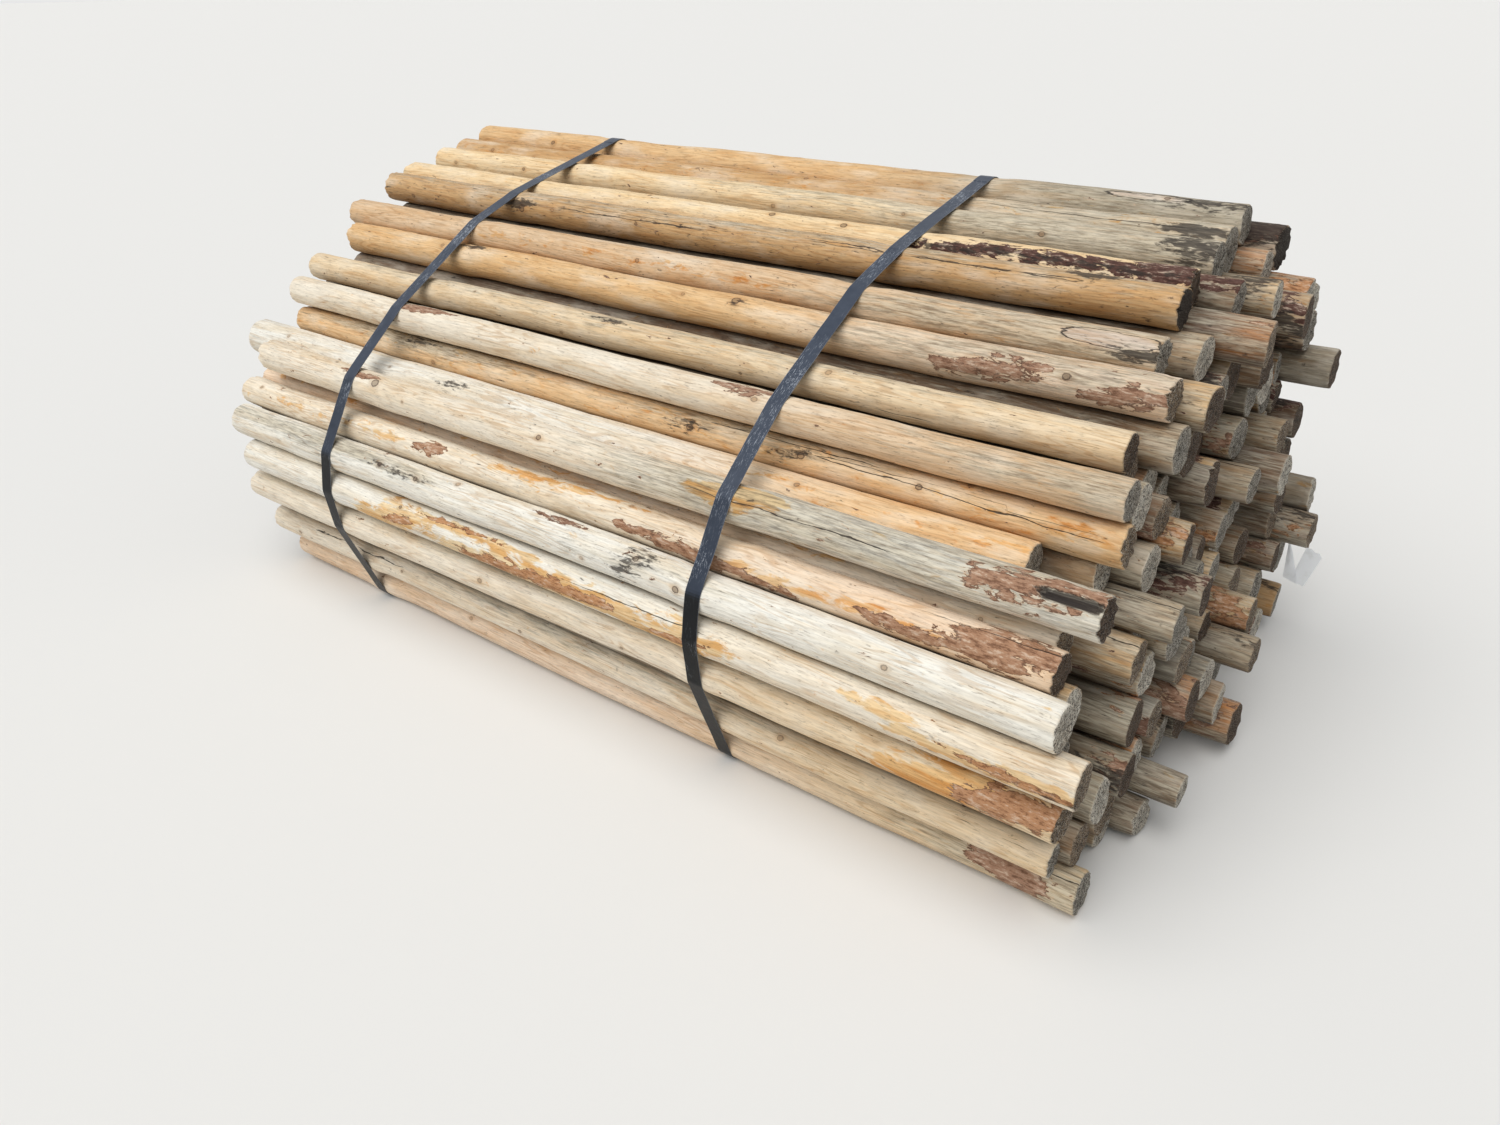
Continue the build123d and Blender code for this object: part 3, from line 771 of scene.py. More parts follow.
# %% Marks of the front posts
# Tone at the near end, tone at the far end, end tone, habit, kind of bark and marks
FRONT_LOOKS = [
    ("straw", "peach", "grey", PLAIN, 0.5, [
        ("bark", 0.07, 0.2, 14, 34, 0.05), ("grey", 0.0, 0.07, 30, 30, 0.09)]),
    ("straw", "cream", "grey", PLAIN, 0.3, [("grey", 0.9, 1.5, 60, 60, 0.03, 0.5)]),
    ("straw", "cream", "dun", PLAIN, 0.8, [
        ("bark", 0.0, 0.17, 50, 5, 0.045), ("resin", 0.1, 0.3, 30, 0, 0.05)]),
    ("cream", "white", "dun", PLAIN, 0.95, [
        ("bark", 0.0, 0.2, -16, -6, 0.012, 0.85), ("fleck", 0.0, 0.12, -20, -14, 0.006, 0.7),
        ("resin", 1.69, 1.87, 25, -20, 0.05), ("bark", 1.72, 1.8, 10, -10, 0.016),
        ("bark", 1.05, 1.5, 2, -24, 0.022), ("resin", 1.0, 1.56, 4, -22, 0.04),
        ("resin", 1.3, 1.75, 50, 42, 0.014, 0.9), ("bark", 1.4, 1.66, 54, 48, 0.008, 0.8),
        ("resin", 0.77, 0.96, 5, -35, 0.045), ("bark", 0.8, 0.9, 0, -20, 0.012),
        ("resin", 0.36, 0.41, 32, 32, 0.02), ("resin", 0.0, 0.3, -8, -4, 0.02)]),
    ("white", "white", "pale", PLAIN, 0.3, [
        ("fleck", 0.9, 0.97, 66, 10, 0.05, 0.52), ("bark", 1.11, 1.24, 84, 80, 0.01),
        ("grey", 0.88, 0.99, 50, 20, 0.03, 0.5), ("fleck", 1.62, 1.8, 46, 46, 0.016, 0.5),
        ("grey", 1.9, 2.2, 60, 60, 0.04)]),
    ("peach", "cream", "brown", PLAIN, 0.66, [
        ("bark", 1.58, 1.65, 52, 38, 0.022), ("bark", 0.55, 0.98, -16, 12, 0.018),
        ("resin", 0.5, 0.7, 5, 12, 0.02, 0.7), ("bark", 0.22, 0.36, 0, 10, 0.016),
        ("resin", 0.22, 0.44, 10, 22, 0.02, 0.7), ("bark", 0.0, 0.19, 58, 24, 0.045),
        ("resin", 1.0, 1.4, 80, 61, 0.03, 0.55), ("resin", 1.68, 2.2, 40, 30, 0.02, 0.5)]),
    ("cream", "peach", "dun", PLAIN, 0.3, [("resin", 0.5, 2.3, 60, 60, 0.02, 0.4)]),
    ("white", "cream", "brown", PLAIN, 0.58, [
        ("grey", 0.06, 0.84, 70, 40, 0.12, 0.9), ("bark", 0.0, 0.22, 76, 38, 0.04, 0.9),
        ("bark", 1.93, 2.02, 70, 66, 0.012), ("resin", 0.7, 0.8, 60, 40, 0.04)]),
    ("honey", "honey", "dun", STAINED, 0.3, [
        ("fleck", 0.93, 1.02, 36, 20, 0.02, 0.5), ("fleck", 0.63, 0.74, 46, 20, 0.02, 0.5),
        ("grey", 0.6, 0.92, 90, 60, 0.05, 0.7), ("fleck", 1.84, 1.94, 72, 60, 0.025, 0.55),
        ("resin", 0.0, 0.3, 30, 20, 0.03, 0.45), ("grey", 1.7, 2.0, 66, 66, 0.05)]),
    ("sand", "cream", "grey", PLAIN, 0.45, [
        ("bark", 1.8, 1.95, 80, 70, 0.018), ("bark", 0.75, 0.88, 80, 76, 0.014),
        ("grey", 0.0, 0.1, 50, 40, 0.06, 0.8)]),
    ("straw", "straw", "brown", PLAIN, 0.3, [
        ("fleck", 1.2, 1.3, 70, 70, 0.012, 0.6), ("grey", 0.5, 2.1, 84, 84, 0.03, 0.5)]),
    ("peach", "amber", "dun", PLAIN, 0.48, [
        ("bark", 0.24, 0.45, 28, -6, 0.026, 0.85), ("grey", 0.0, 0.5, 66, 40, 0.07, 0.7),
        ("fleck", 1.86, 1.9, 80, 80, 0.014), ("bark", 0.0, 0.14, 12, -6, 0.024, 0.85),
        ("fleck", 0.94, 0.98, 80, 50, 0.012, 0.6)]),
    ("sand", "sand", "grey", PLAIN, 0.1, [
        ("fleck", 0.0, 0.1, 20, 20, 0.02), ("grey", 0.0, 0.5, 14, 24, 0.06, 0.8),
        ("grey", 0.0, 0.3, 70, 70, 0.05, 0.7), ("resin", 0.9, 1.8, 24, 24, 0.02, 0.45)]),
    ("toasted", "toasted", "black", FLECKED, 0.2, [
        ("fleck", 1.79, 1.86, 30, 22, 0.018), ("grey", 0.0, 2.3, 90, 84, 0.05, 0.6),
        ("fleck", 0.16, 0.22, 84, 84, 0.02)]),
    ("gold", "gold", "brown", PLAIN, 0.05, [
        ("bark", 0.0, 0.62, 46, 34, 0.028, 0.64), ("fleck", 0.0, 0.6, 42, 32, 0.018, 0.5),
        ("bark", 0.05, 0.34, 50, 42, 0.02, 0.85), ("bark", 0.0, 0.12, 64, 50, 0.05, 0.8)]),
    ("tan", "gold", "grey", PLAIN, 0.2, [
        ("grey", 0.0, 0.5, 60, 50, 0.14, 0.75), ("grey", 0.5, 1.1, 70, 70, 0.04, 0.6),
        ("fleck", 0.0, 0.09, 40, 50, 0.06, 0.75)]),
    ("tan", "toasted", "grey", STAINED, 0.2, [
        ("grey", 0.0, 0.4, 60, 60, 0.16, 0.6), ("fleck", 0.02, 0.12, 50, 50, 0.02)]),
    ("drab", "amber", "grey", PLAIN, 0.2, [
        ("grey", 0.0, 0.4, 80, 80, 0.14, 0.6), ("fleck", 0.0, 0.24, 70, 76, 0.03, 0.7)]),
    ("umber", "amber", "black", WORN, 0.2, [
        ("bark", 0.0, 0.4, 60, 60, 0.05), ("fleck", 0.0, 0.2, 60, 60, 0.06)]),
]
# One buried post shows through a gap in the front flank.
GAP_PLACE = (-0.5, 0.66)
GAP_LOOKS = ("honey", "white", "grey", PLAIN, 0.2, [
    ("resin", 0.0, 0.6, 60, 60, 0.03, 0.35), ("fleck", 1.5, 1.58, 60, 50, 0.02, 0.5)])
print("marks written down:", sum(len(written[5]) for written in FRONT_LOOKS + [GAP_LOOKS]))

# %% [markdown]
# Knots and cracks of the front posts are listed by the post's number, from 0 at the ground,
# where a real one is large enough to notice. A knot is its place, its degrees up and its size.
# A crack has a place and degrees at each of its ends. A few posts also carry a scar, ringed by
# a crack or torn out as a hollow, and some ends are splintered and others cut clean.

# %% Knots, cracks, scars and frayed ends of the front posts
FRONT_KNOTS = {
    4: [(1.78, 49, 0.005), (1.64, 44, 0.005), (0.81, 13, 0.006), (0.93, 50, 0.005)],
    7: [(1.9, 50, 0.009), (1.3, 40, 0.005)],
    8: [(0.96, 24, 0.006), (0.67, 28, 0.006), (0.4, 30, 0.005)],
    11: [(0.98, 60, 0.008), (1.88, 78, 0.007)],
    13: [(1.81, 8, 0.008), (0.62, 50, 0.006)],
    14: [(1.02, 70, 0.006), (0.81, 60, 0.006)],
}
FRONT_CRACKS = {
    0: [(0.0, 0.5, 60, 60)],
    1: [(1.84, 2.3, 40, 44)],
    3: [(0.78, 1.2, 35, 27)],
    5: [(0.0, 0.35, 74, 70)],
    7: [(0.4, 0.9, 30, 34)],
    8: [(0.04, 0.72, 18, 40), (0.5, 0.95, 56, 62)],
    12: [(0.0, 0.25, 66, 62)],
    13: [(0.2, 0.9, 50, 54), (1.2, 1.7, 30, 30)],
    16: [(0.1, 0.6, 50, 62)],
    17: [(0.12, 0.5, 62, 70)],
}
# Scars ringed by a crack: middle, degrees up, half length and half width
FRONT_SCARS = {12: (0.1, 44, 0.1, 0.019), 17: (0.22, 66, 0.09, 0.012)}
# Hollows torn into a post: middle, degrees up, half length, half width and depth
FRONT_HOLLOWS = {7: (0.06, 50, 0.065, 0.015, 0.016)}
# Posts whose ends are more or less splintered than usual
USUAL_FRAY = 0.6
FRONT_FRAY = {2: 0.5, 3: 0.4, 4: 0.5, 5: 0.8, 7: 1.3, 8: 1.0, 9: 0.4, 10: 0.5, 11: 1.6,
              12: 1.2, 13: 1.5, 14: 2.0, 15: 0.4, 16: 0.3, 18: 1.2}
LISTED_KNOT_DARKNESS = 0.9
print("posts with a scar or a hollow:", sorted([*FRONT_SCARS, *FRONT_HOLLOWS]))

# %% [markdown]
# The other posts draw their looks from the same tones and kinds of marks with a seeded dice,
# so that the bundle comes out the same every time. Knots grow in whorls, with a hand's
# breadth or two of clear stem between them. Many cracks start at the near end, where the wood
# dries first.

# %% Dice for marks, knots and cracks
NEAR_EDGE = 0.05


def random_marks(dice):
    """Marks along a post, marks at its near end, and some grey there."""
    marks = []
    for _ in range(dice.choice((0, 1, 1, 2, 3))):
        start = dice.uniform(0, 2.1)
        length = dice.uniform(0.08, 0.4)
        up = dice.uniform(-180, 180)
        kind = dice.choice(("bark", "bark", "resin", "fleck", "grey"))
        marks.append((kind, start, start + length, up, up + dice.uniform(-15, 15),
                      dice.uniform(0.01, 0.03), dice.choice((0.6, 0.8, 1.0))))
    for _ in range(dice.choice((0, 1, 2))):
        marks.append((dice.choice(("bark", "bark", "fleck")), 0.0, dice.uniform(0.05, 0.25),
                      dice.uniform(-90, 150), dice.uniform(-90, 150), dice.uniform(0.02, 0.06),
                      dice.choice((0.6, 0.8))))
    marks.append(("grey", 0.0, dice.uniform(0.1, 0.5), 60, 60, dice.uniform(0.05, 0.3),
                  dice.choice((0.2, 0.4, 0.7))))
    return marks


def random_knots(dice, length):
    """Knots of a post: place, degrees up, size and darkness."""
    knots = []
    whorl = dice.uniform(0.1, 0.4)
    while whorl < length - NEAR_EDGE:
        turn = dice.uniform(0, 360)
        for branch in range(dice.choice((1, 1, 2, 2))):
            knots.append((whorl + dice.uniform(-0.02, 0.02), turn + branch * 120,
                          dice.uniform(0.0025, 0.006), dice.random() ** 2))
        whorl += dice.uniform(0.2, 0.5)
    return knots


def random_cracks(dice):
    """Drying cracks of a post: start, stop, and degrees up at each."""
    cracks = []
    for _ in range(dice.choice((0, 1, 2))):
        start = dice.choice((0.0, dice.uniform(0.1, 1.8)))
        up = dice.uniform(-180, 180)
        cracks.append((start, start + dice.uniform(0.15, 0.7), up, up + dice.uniform(-8, 8)))
    return cracks


print("marks of one throw:", [mark[0] for mark in random_marks(random.Random(0))])

# %% [markdown]
# The same dice gives a post its tones, its habit and the state of its ends. Some choices are
# listed twice, which makes them twice as likely. Posts that are buried or at the back get darker
# tones at their near ends.

# %% Dice for the looks of a post
TONE_CHOICE = ("white", "cream", "cream", "tan", "tan", "deep_tan", "gold", "gold", "peach",
               "pink", "amber")
BURIED_CHOICE = ("deep_tan", "deep_tan", "amber", "brown", "brown", "drab", "dark", "dark",
                 "umber", "umber", "umber", "toasted", "rust", "slate")
END_CHOICE = ("pale", "pale", "grey", "grey", "dun", "brown", "pale", "brown")
HABIT_CHOICE = (PLAIN, GREYED, STAINED, FLECKED, WORN, WORN)
# Middle of the bundle's section, in y and z
SECTION_MIDDLE = (0.05, 0.40)


def throw_looks(post, dice):
    """Looks of any post, by the dice."""
    post.far_tone = TONES[dice.choice(TONE_CHOICE)]
    buried_tone = TONES[dice.choice(BURIED_CHOICE)]
    hidden = not post.outer or post.y > SECTION_MIDDLE[0]
    post.near_tone = buried_tone if hidden else post.far_tone
    post.bark_kind = dice.random() ** 1.5
    post.end_tone = END_TONES[dice.choice(END_CHOICE)]
    post.habit = dice.choice(HABIT_CHOICE)
    post.scar = None
    post.hollow = None
    post.fray = dice.choice((0.3, 0.6, 1.0))
    post.marks = random_marks(dice)
    post.knots = random_knots(dice, post.near - post.far)
    post.cracks = random_cracks(dice)


print("tones to throw for:", len(set(TONE_CHOICE)), "outside,", len(set(BURIED_CHOICE)), "inside")

# %% [markdown]
# Every post is thrown for first, and then the front posts get what is written down for them.
# The front posts are found by their angle as seen from the middle of the section, and the one
# in the gap by its place. A thrown knot stays on a front post only if it is clear of the
# listed ones, and of the thrown cracks the first one stays.

# %% Give every post its looks
SEED = 7
FRONT_ANGLES = (-60, 128)
KNOT_SPACING = 0.09


def angle_up_front(post):
    """Degrees up from the front at which a post is seen from the middle of the section."""
    return math.degrees(math.atan2(post.z - SECTION_MIDDLE[1], SECTION_MIDDLE[0] - post.y))


def find_front_posts():
    """Posts of the front flank and crown from the ground up, then the one in the gap."""
    low, high = FRONT_ANGLES
    front = sorted((post for post in OUTER_POSTS if low < angle_up_front(post) < high),
                   key=angle_up_front)
    gap_post = min(POSTS, key=lambda post: math.dist((post.y, post.z), GAP_PLACE))
    print(len(front), "front posts, of which", len(FRONT_LOOKS), "are written down")
    print("post in the gap is on the outside:", gap_post.outer)
    return front + [gap_post]


def write_looks(post, number, looks):
    """Looks of a front post, as written down."""
    near_tone, far_tone, end_tone, post.habit, post.bark_kind, post.marks = looks
    post.near_tone = TONES[near_tone]
    post.far_tone = TONES[far_tone]
    post.end_tone = END_TONES[end_tone]
    post.cracks = FRONT_CRACKS.get(number, []) + post.cracks[:1]
    post.scar = FRONT_SCARS.get(number)
    post.hollow = FRONT_HOLLOWS.get(number)
    post.fray = FRONT_FRAY.get(number, USUAL_FRAY)
    listed = [(along, up, size, LISTED_KNOT_DARKNESS)
              for along, up, size in FRONT_KNOTS.get(number, [])]
    post.knots = listed + [knot for knot in post.knots
                           if all(abs(knot[0] - other[0]) > KNOT_SPACING for other in listed)]


dice = random.Random(SEED)
for index, post in enumerate(POSTS):
    post.seed = index
    throw_looks(post, dice)
FRONT_POSTS = find_front_posts()
for number, (post, looks) in enumerate(zip(FRONT_POSTS, FRONT_LOOKS + [GAP_LOOKS])):
    write_looks(post, number, looks)
print("knots in all:", sum(len(post.knots) for post in POSTS))

# %% [markdown]
# Modelling by hand is no good for 170 posts, and a displacement texture would need far more
# polygons than the eye can see. Instead each post is a stack of rings, like beads of clay on a
# string: the cells below work out for every point of every ring how far it stands from the
# axis. For that they need a smooth random value in space, which is written here with numpy
# because numpy handles a hundred thousand points at once.
#
# Where a later cell adds a bare number to a place or to a seed, it only takes the noise from
# another part of space, so that no two effects follow the same pattern.

# %% Smooth random values in space
NOISE_VALUES = np.random.default_rng(SEED).uniform(-1, 1, 4096)
# Large odd numbers that scatter neighbouring cells over the values
SCATTER = (73856093, 19349663, 83492791)


def soft_noise(places, seed):
    """Smooth value from -1 to 1 at each place."""
    cell = np.floor(places).astype(np.int64)
    share = places - cell
    share = share * share * (3 - 2 * share)
    total = np.zeros(places.shape[:-1])
    for corner in range(8):
        step = np.array((corner & 1, corner >> 1 & 1, corner >> 2 & 1))
        at = (cell + step) * SCATTER
        pick = (at[..., 0] ^ at[..., 1] ^ at[..., 2] ^ (seed * 7919 + 17)) % len(NOISE_VALUES)
        weight = np.where(step, share, 1 - share).prod(-1)
        total += weight * NOISE_VALUES[pick]
    return total


def smooth_step(value, low, high):
    """0 below low, 1 above high, and a smooth change between them."""
    share = np.clip((value - low) / (high - low), 0, 1)
    return share * share * (3 - 2 * share)


def mixed(one, other, share):
    """Value between two others."""
    return one * (1 - share) + other * share


print("noise half way along a cell:", soft_noise(np.array([[0.5, 0.0, 0.0]]), SEED).round(3))

# %% [markdown]
# One post as rings. From the far end to the near end the rings are: the far face, from its
# middle outwards, the side, and the near face, back to its middle. The rings crowd together
# near both ends, where the shape changes most. The straps bear on the posts, so the shape is
# left free only away from them, and under them it is pressed back to the plain round.

# %% Rings of a post
# Rings on an end face, as shares of the post's radius
FACE_RINGS = (0.3, 0.58, 0.8, 0.94)
END_CROWDING = 0.07
EDGE_STEP = 0.003
STRAP_MIDDLES = [sum(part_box(name)[side][0] for side in (0, 1)) / 2
                 for name in ("strap_near", "strap_far")]
STRAP_REACH = 0.03
STRAP_FADE = 0.05
SHORTEST_MARK = 0.01


def ring_places(length, count):
    """Places of the side's rings from 0 to length, with one more close to each end."""
    share = np.linspace(0, 1, count)
    places = length * (share - END_CROWDING * np.sin(2 * math.pi * share))
    return np.concatenate((places[:1], places[:1] + EDGE_STEP, places[1:-1],
                           places[-1:] - EDGE_STEP, places[-1:]))


class Rings:
    """Where the points of a post lie along it and round it, as arrays of rings by columns."""

    def __init__(self, post, columns, count):
        self.length = post.near - post.far
        side = ring_places(self.length, count)
        faces = len(FACE_RINGS)
        travel = np.concatenate((np.zeros(faces), side, np.full(faces, self.length)))
        turn = np.linspace(0, 2 * math.pi, columns, endpoint=False)
        self.reach = np.concatenate((FACE_RINGS, np.ones(len(side)), FACE_RINGS[::-1]))[:, None]
        self.along = np.repeat(travel[:, None], columns, 1)
        self.from_near = self.length - self.along
        self.theta = np.repeat(turn[None, :], len(travel), 0)
        self.x = post.far + self.along
        self.unit = np.stack((self.x, np.cos(self.theta), np.sin(self.theta)), -1)
        # 1 where the wood is free to swell and 0 under a strap
        self.free = np.ones_like(self.x)
        for middle in STRAP_MIDDLES:
            self.free *= smooth_step(np.abs(self.x - middle), STRAP_REACH,
                                     STRAP_REACH + STRAP_FADE)

    def beside(self, up):
        """Angle to each point from a line that lies some degrees up from the front."""
        return (self.theta - np.radians(180 - up) + math.pi) % (2 * math.pi) - math.pi

    def share(self, start, stop):
        """How far each point has come from start to stop, in metres from the near end."""
        return np.clip((self.from_near - start) / max(stop - start, SHORTEST_MARK), 0, 1)


print("middles of the straps:", [round(middle, 3) for middle in STRAP_MIDDLES])

# %% [markdown]
# Marks are painted on the points as soft areas, one channel for each kind. Each mark is
# widest in its middle and fades at its ends, and some kinds fade faster than others. The
# shader then tears the areas into ragged patches, so a few points are enough for a fine edge.

# %% Marks on the points of a post
MARK_CHANNEL = {"bark": 0, "grey": 1, "fleck": 2, "resin": 3}
# Metres in which a mark fades beyond its start and stop
MARK_FADE = {"bark": 0.03, "grey": 0.3, "fleck": 0.03, "resin": 0.07}
# Width of a mark at its tips, as a share of its middle
MARK_TIP = 0.55
MARK_PEAK = 1.1
MARK_FALL = 0.68


def paint_marks(post, rings):
    """Soft areas of the four kinds of marks."""
    marks = np.zeros(rings.x.shape + (4,)) + post.habit
    for mark in post.marks:
        kind, start, stop, up_start, up_stop, width, peak = (mark + (1.0,))[:7]
        share = rings.share(start, stop)
        away = np.abs(rings.beside(up_start + share * (up_stop - up_start))) * post.radius
        beyond = np.maximum(np.maximum(start - rings.from_near, rings.from_near - stop), 0)
        bulge = MARK_TIP + (1 - MARK_TIP) * np.sin(math.pi * share)
        distance = np.hypot(beyond / MARK_FADE[kind], away / (width * bulge))
        area = peak * np.clip(MARK_PEAK - MARK_FALL * distance, 0, 1)
        channel = MARK_CHANNEL[kind]
        marks[..., channel] = np.maximum(marks[..., channel], area)
    return marks


print("kinds of marks:", ", ".join(MARK_CHANNEL))

# %% [markdown]
# Knots and cracks need a sharp edge, so each point carries its offset from the nearest one
# instead of a soft area. The wood also swells round a knot, which is part of the shape. The
# kind of bark rides along in a place that the cracks leave free.

# %% Knots and cracks on the points of a post
KNOT_REACH = 0.034
KNOT_SWELL = 0.25
NOWHERE_NEAR = 9.0


def paint_knots(post, rings):
    """Offset of each point from its nearest knot, in knot sizes, and the swelling round it."""
    knots = np.zeros(rings.x.shape + (4,))
    swell = np.zeros_like(rings.x)
    nearest = np.full_like(rings.x, NOWHERE_NEAR)
    for place, up, size, darkness in post.knots:
        across = rings.beside(up) * post.radius
        off = rings.from_near - place
        distance = np.hypot(off, across)
        closer = distance < nearest
        nearest = np.where(closer, distance, nearest)
        strength = 1 - smooth_step(distance, KNOT_REACH - 0.01, KNOT_REACH)
        found = np.stack((off / size, across / size, strength,
                          np.full_like(rings.x, darkness)), -1)
        knots = np.where(closer[..., None], found, knots)
        swell += size * KNOT_SWELL * np.exp(-(distance / (2.2 * size)) ** 2)
    return knots, swell


def paint_cracks(post, rings):
    """Offset of each point from its nearest crack, how open that is, and the kind of bark."""
    cracks = np.zeros(rings.x.shape + (3,))
    cracks[..., 0] = 1.0
    cracks[..., 2] = post.bark_kind
    for start, stop, up_start, up_stop in post.cracks:
        share = rings.share(start, stop)
        across = rings.beside(up_start + share * (up_stop - up_start)) * post.radius
        within = smooth_step(rings.from_near, start - 0.02, start + 0.05)
        within = within * (1 - smooth_step(rings.from_near, stop - 0.15, stop))
        if start == 0.0:
            within = 1 - smooth_step(rings.from_near, 0.0, stop)
        beside = np.abs(across)
        closer = (beside < np.abs(cracks[..., 0])) & (beside < 0.5 * post.radius)
        cracks[..., 0] = np.where(closer, across, cracks[..., 0])
        cracks[..., 1] = np.where(closer, within, cracks[..., 1])
    return cracks


print("a 5 mm knot swells the post by", 5 * KNOT_SWELL, "mm")

# %% [markdown]
# A scar is an oval on the post. Where the wood has closed round it, a crack rings it and its
# tone is its own. Where a piece was torn out, the shape sinks and the floor of the hollow is
# dark. Both measure their distance from the oval's middle in oval sizes, so 1 is its outline.

# %% Scars and hollows
SCAR_TONE = np.array(paint(204, 186, 168))
SCAR_CRACK = 0.5
SCAR_CLEARS = 0.55
PIT_DARKNESS = 1.4


def oval_distance(post, rings, oval):
    """Distance from the middle of an oval on the post, in oval sizes."""
    middle, up, half_length, half_width = oval[:4]
    return np.hypot((rings.from_near - middle) / half_length,
                    rings.beside(up) * post.radius / half_width)


def add_scar(post, rings, tone, marks, cracks):
    """Tone with a scar in it. The scar also thins the marks and takes over the cracks."""
    ring = oval_distance(post, rings, post.scar)
    cracks[..., 0] = (ring - 1) * post.scar[3]
    cracks[..., 1] = SCAR_CRACK * (1 - smooth_step(ring, 1.5, 2.0))
    share = 1 - smooth_step(ring, 0.9, 1.05)[..., None]
    marks *= 1 - SCAR_CLEARS * share
    return mixed(tone, SCAR_TONE, share)


def add_hollow(post, rings, marks):
    """How far each point sinks into a torn hollow, which is dark and free of bark."""
    sunk = 1 - smooth_step(oval_distance(post, rings, post.hollow), 0.8, 1.05)
    fleck, bark = MARK_CHANNEL["fleck"], MARK_CHANNEL["bark"]
    marks[..., fleck] = np.maximum(marks[..., fleck], PIT_DARKNESS * sunk)
    marks[..., bark] *= 1 - sunk
    return post.hollow[4] * sunk


print("depth of the hollows in mm:", [1000 * hollow[4] for hollow in FRONT_HOLLOWS.values()])

# %% [markdown]
# The stem's tone changes slowly from the near end to the far end. Away from the front, the
# posts are darker towards their near ends, partly from damp and partly as painted shade, most of
# all on the lower side. Buried posts get painted shade further in as well, and their very ends
# bleach in patches. Shade is also painted where a neighbour is close: the last helper measures
# how deep each point lies in such a gap.

# %% Tone, damp and painted shade
TONE_CHANGE = (0.25, 1.1)
DAMP_AND_SHADE_TONE = np.array(paint(104, 88, 75))
OUTER_DAMP_AND_SHADE = 0.45
# Painted shade of the buried posts at the ground, and how much more there is at the crown
BURIED_SHADE, BURIED_SHADE_RISE = 0.7, 0.25
GAP_SHADE_REACH = 0.007


def stem_tone(post, rings):
    """Tone from the near end's to the far end's."""
    share = smooth_step(rings.from_near, *TONE_CHANGE)[..., None]
    return mixed(np.array(post.near_tone), np.array(post.far_tone), share)


def add_damp_and_shade(post, rings, tone, marks):
    """Tone darkened towards the near end by wet wood and painted shade. A buried post also gets a
    bleached end.
    """
    patchy = soft_noise(rings.unit * (14.0, 2.0, 2.0) + 5.3, post.seed + 70)
    # Painted shade on the lower side, broken up by a noise, fading out 0.1 to 0.34 m from the
    # near end
    damp_and_shade = smooth_step(0.5 * patchy - np.sin(rings.theta), -0.2, 0.8)
    damp_and_shade *= 1 - smooth_step(rings.from_near, 0.1, 0.34)
    if post.outer:
        # Damp and painted shade over the last stretch of an outer post
        dry = smooth_step(rings.from_near, 0.12, 0.4)
        damp_and_shade = np.maximum(damp_and_shade, OUTER_DAMP_AND_SHADE * (1 - dry))
    else:
        # Painted shade that deepens from a buried post's near end into the bundle
        deepest_shade = BURIED_SHADE + BURIED_SHADE_RISE * post.z / cad_box[1][2]
        damp_and_shade = np.maximum(damp_and_shade, deepest_shade * smooth_step(rings.from_near, 0.01, 0.12))
        bleached = (0.5 + 0.35 * patchy) * (1 - smooth_step(rings.from_near, 0.08, 0.2))
        grey = MARK_CHANNEL["grey"]
        marks[..., grey] = np.maximum(marks[..., grey], bleached)
    return mixed(tone, tone * DAMP_AND_SHADE_TONE, damp_and_shade[..., None])


def gap_shade_depth(post, points):
    """How deep in the gap towards a neighbour each point lies, from 0 to 1, for the painted
    shade.
    """
    depth = np.zeros(points.shape[:-1])
    for other in POSTS:
        span = math.hypot(other.y - post.y, other.z - post.z)
        if other is post or span > post.radius + other.radius + GAP_SHADE_REACH:
            continue
        away = np.hypot(points[..., 1] - other.y, points[..., 2] - other.z) - other.radius
        beside = smooth_step(points[..., 0], other.far - 0.01, other.far + 0.01)
        beside = beside * (1 - smooth_step(points[..., 0], other.near - 0.01, other.near + 0.01))
        depth = np.maximum(depth, beside * (1 - smooth_step(away, 0.0, GAP_SHADE_REACH)))
    return depth


# How far the painted shade reaches into a gap
print("dirt reaches", 1000 * GAP_SHADE_REACH, "mm into a gap")

# %% [markdown]
# No end is cut quite square. The saw leans a little, leaves a rough face, and tears splinters
# out towards the rim, and handling wears the rim round and bites small chips from it.

# %% Ends of a post
RIM_WEAR, RIM_REACH = 0.0018, 0.004
CHIP_DEPTH, CHIP_REACH = 0.004, 0.03
MOST_LEAN = 0.09
SAW_ROUGHNESS = 0.0012
TORN_DEPTH = 0.009
END_REACH = 0.06


def wear_rims(post, rings, radius):
    """Radius with a worn rim and chips at both ends."""
    for end, distance in enumerate((rings.along, rings.from_near)):
        chips = soft_noise(rings.unit * (60.0, 5.0, 5.0) + 3.1, post.seed + 900 + end)
        rim = 1 - smooth_step(distance, 0.0, RIM_REACH)
        ragged = 1 - smooth_step(distance, 0.0, CHIP_REACH)
        radius = (radius - rim * RIM_WEAR
                  - ragged * CHIP_DEPTH * post.fray * np.maximum(chips, 0))
    return radius


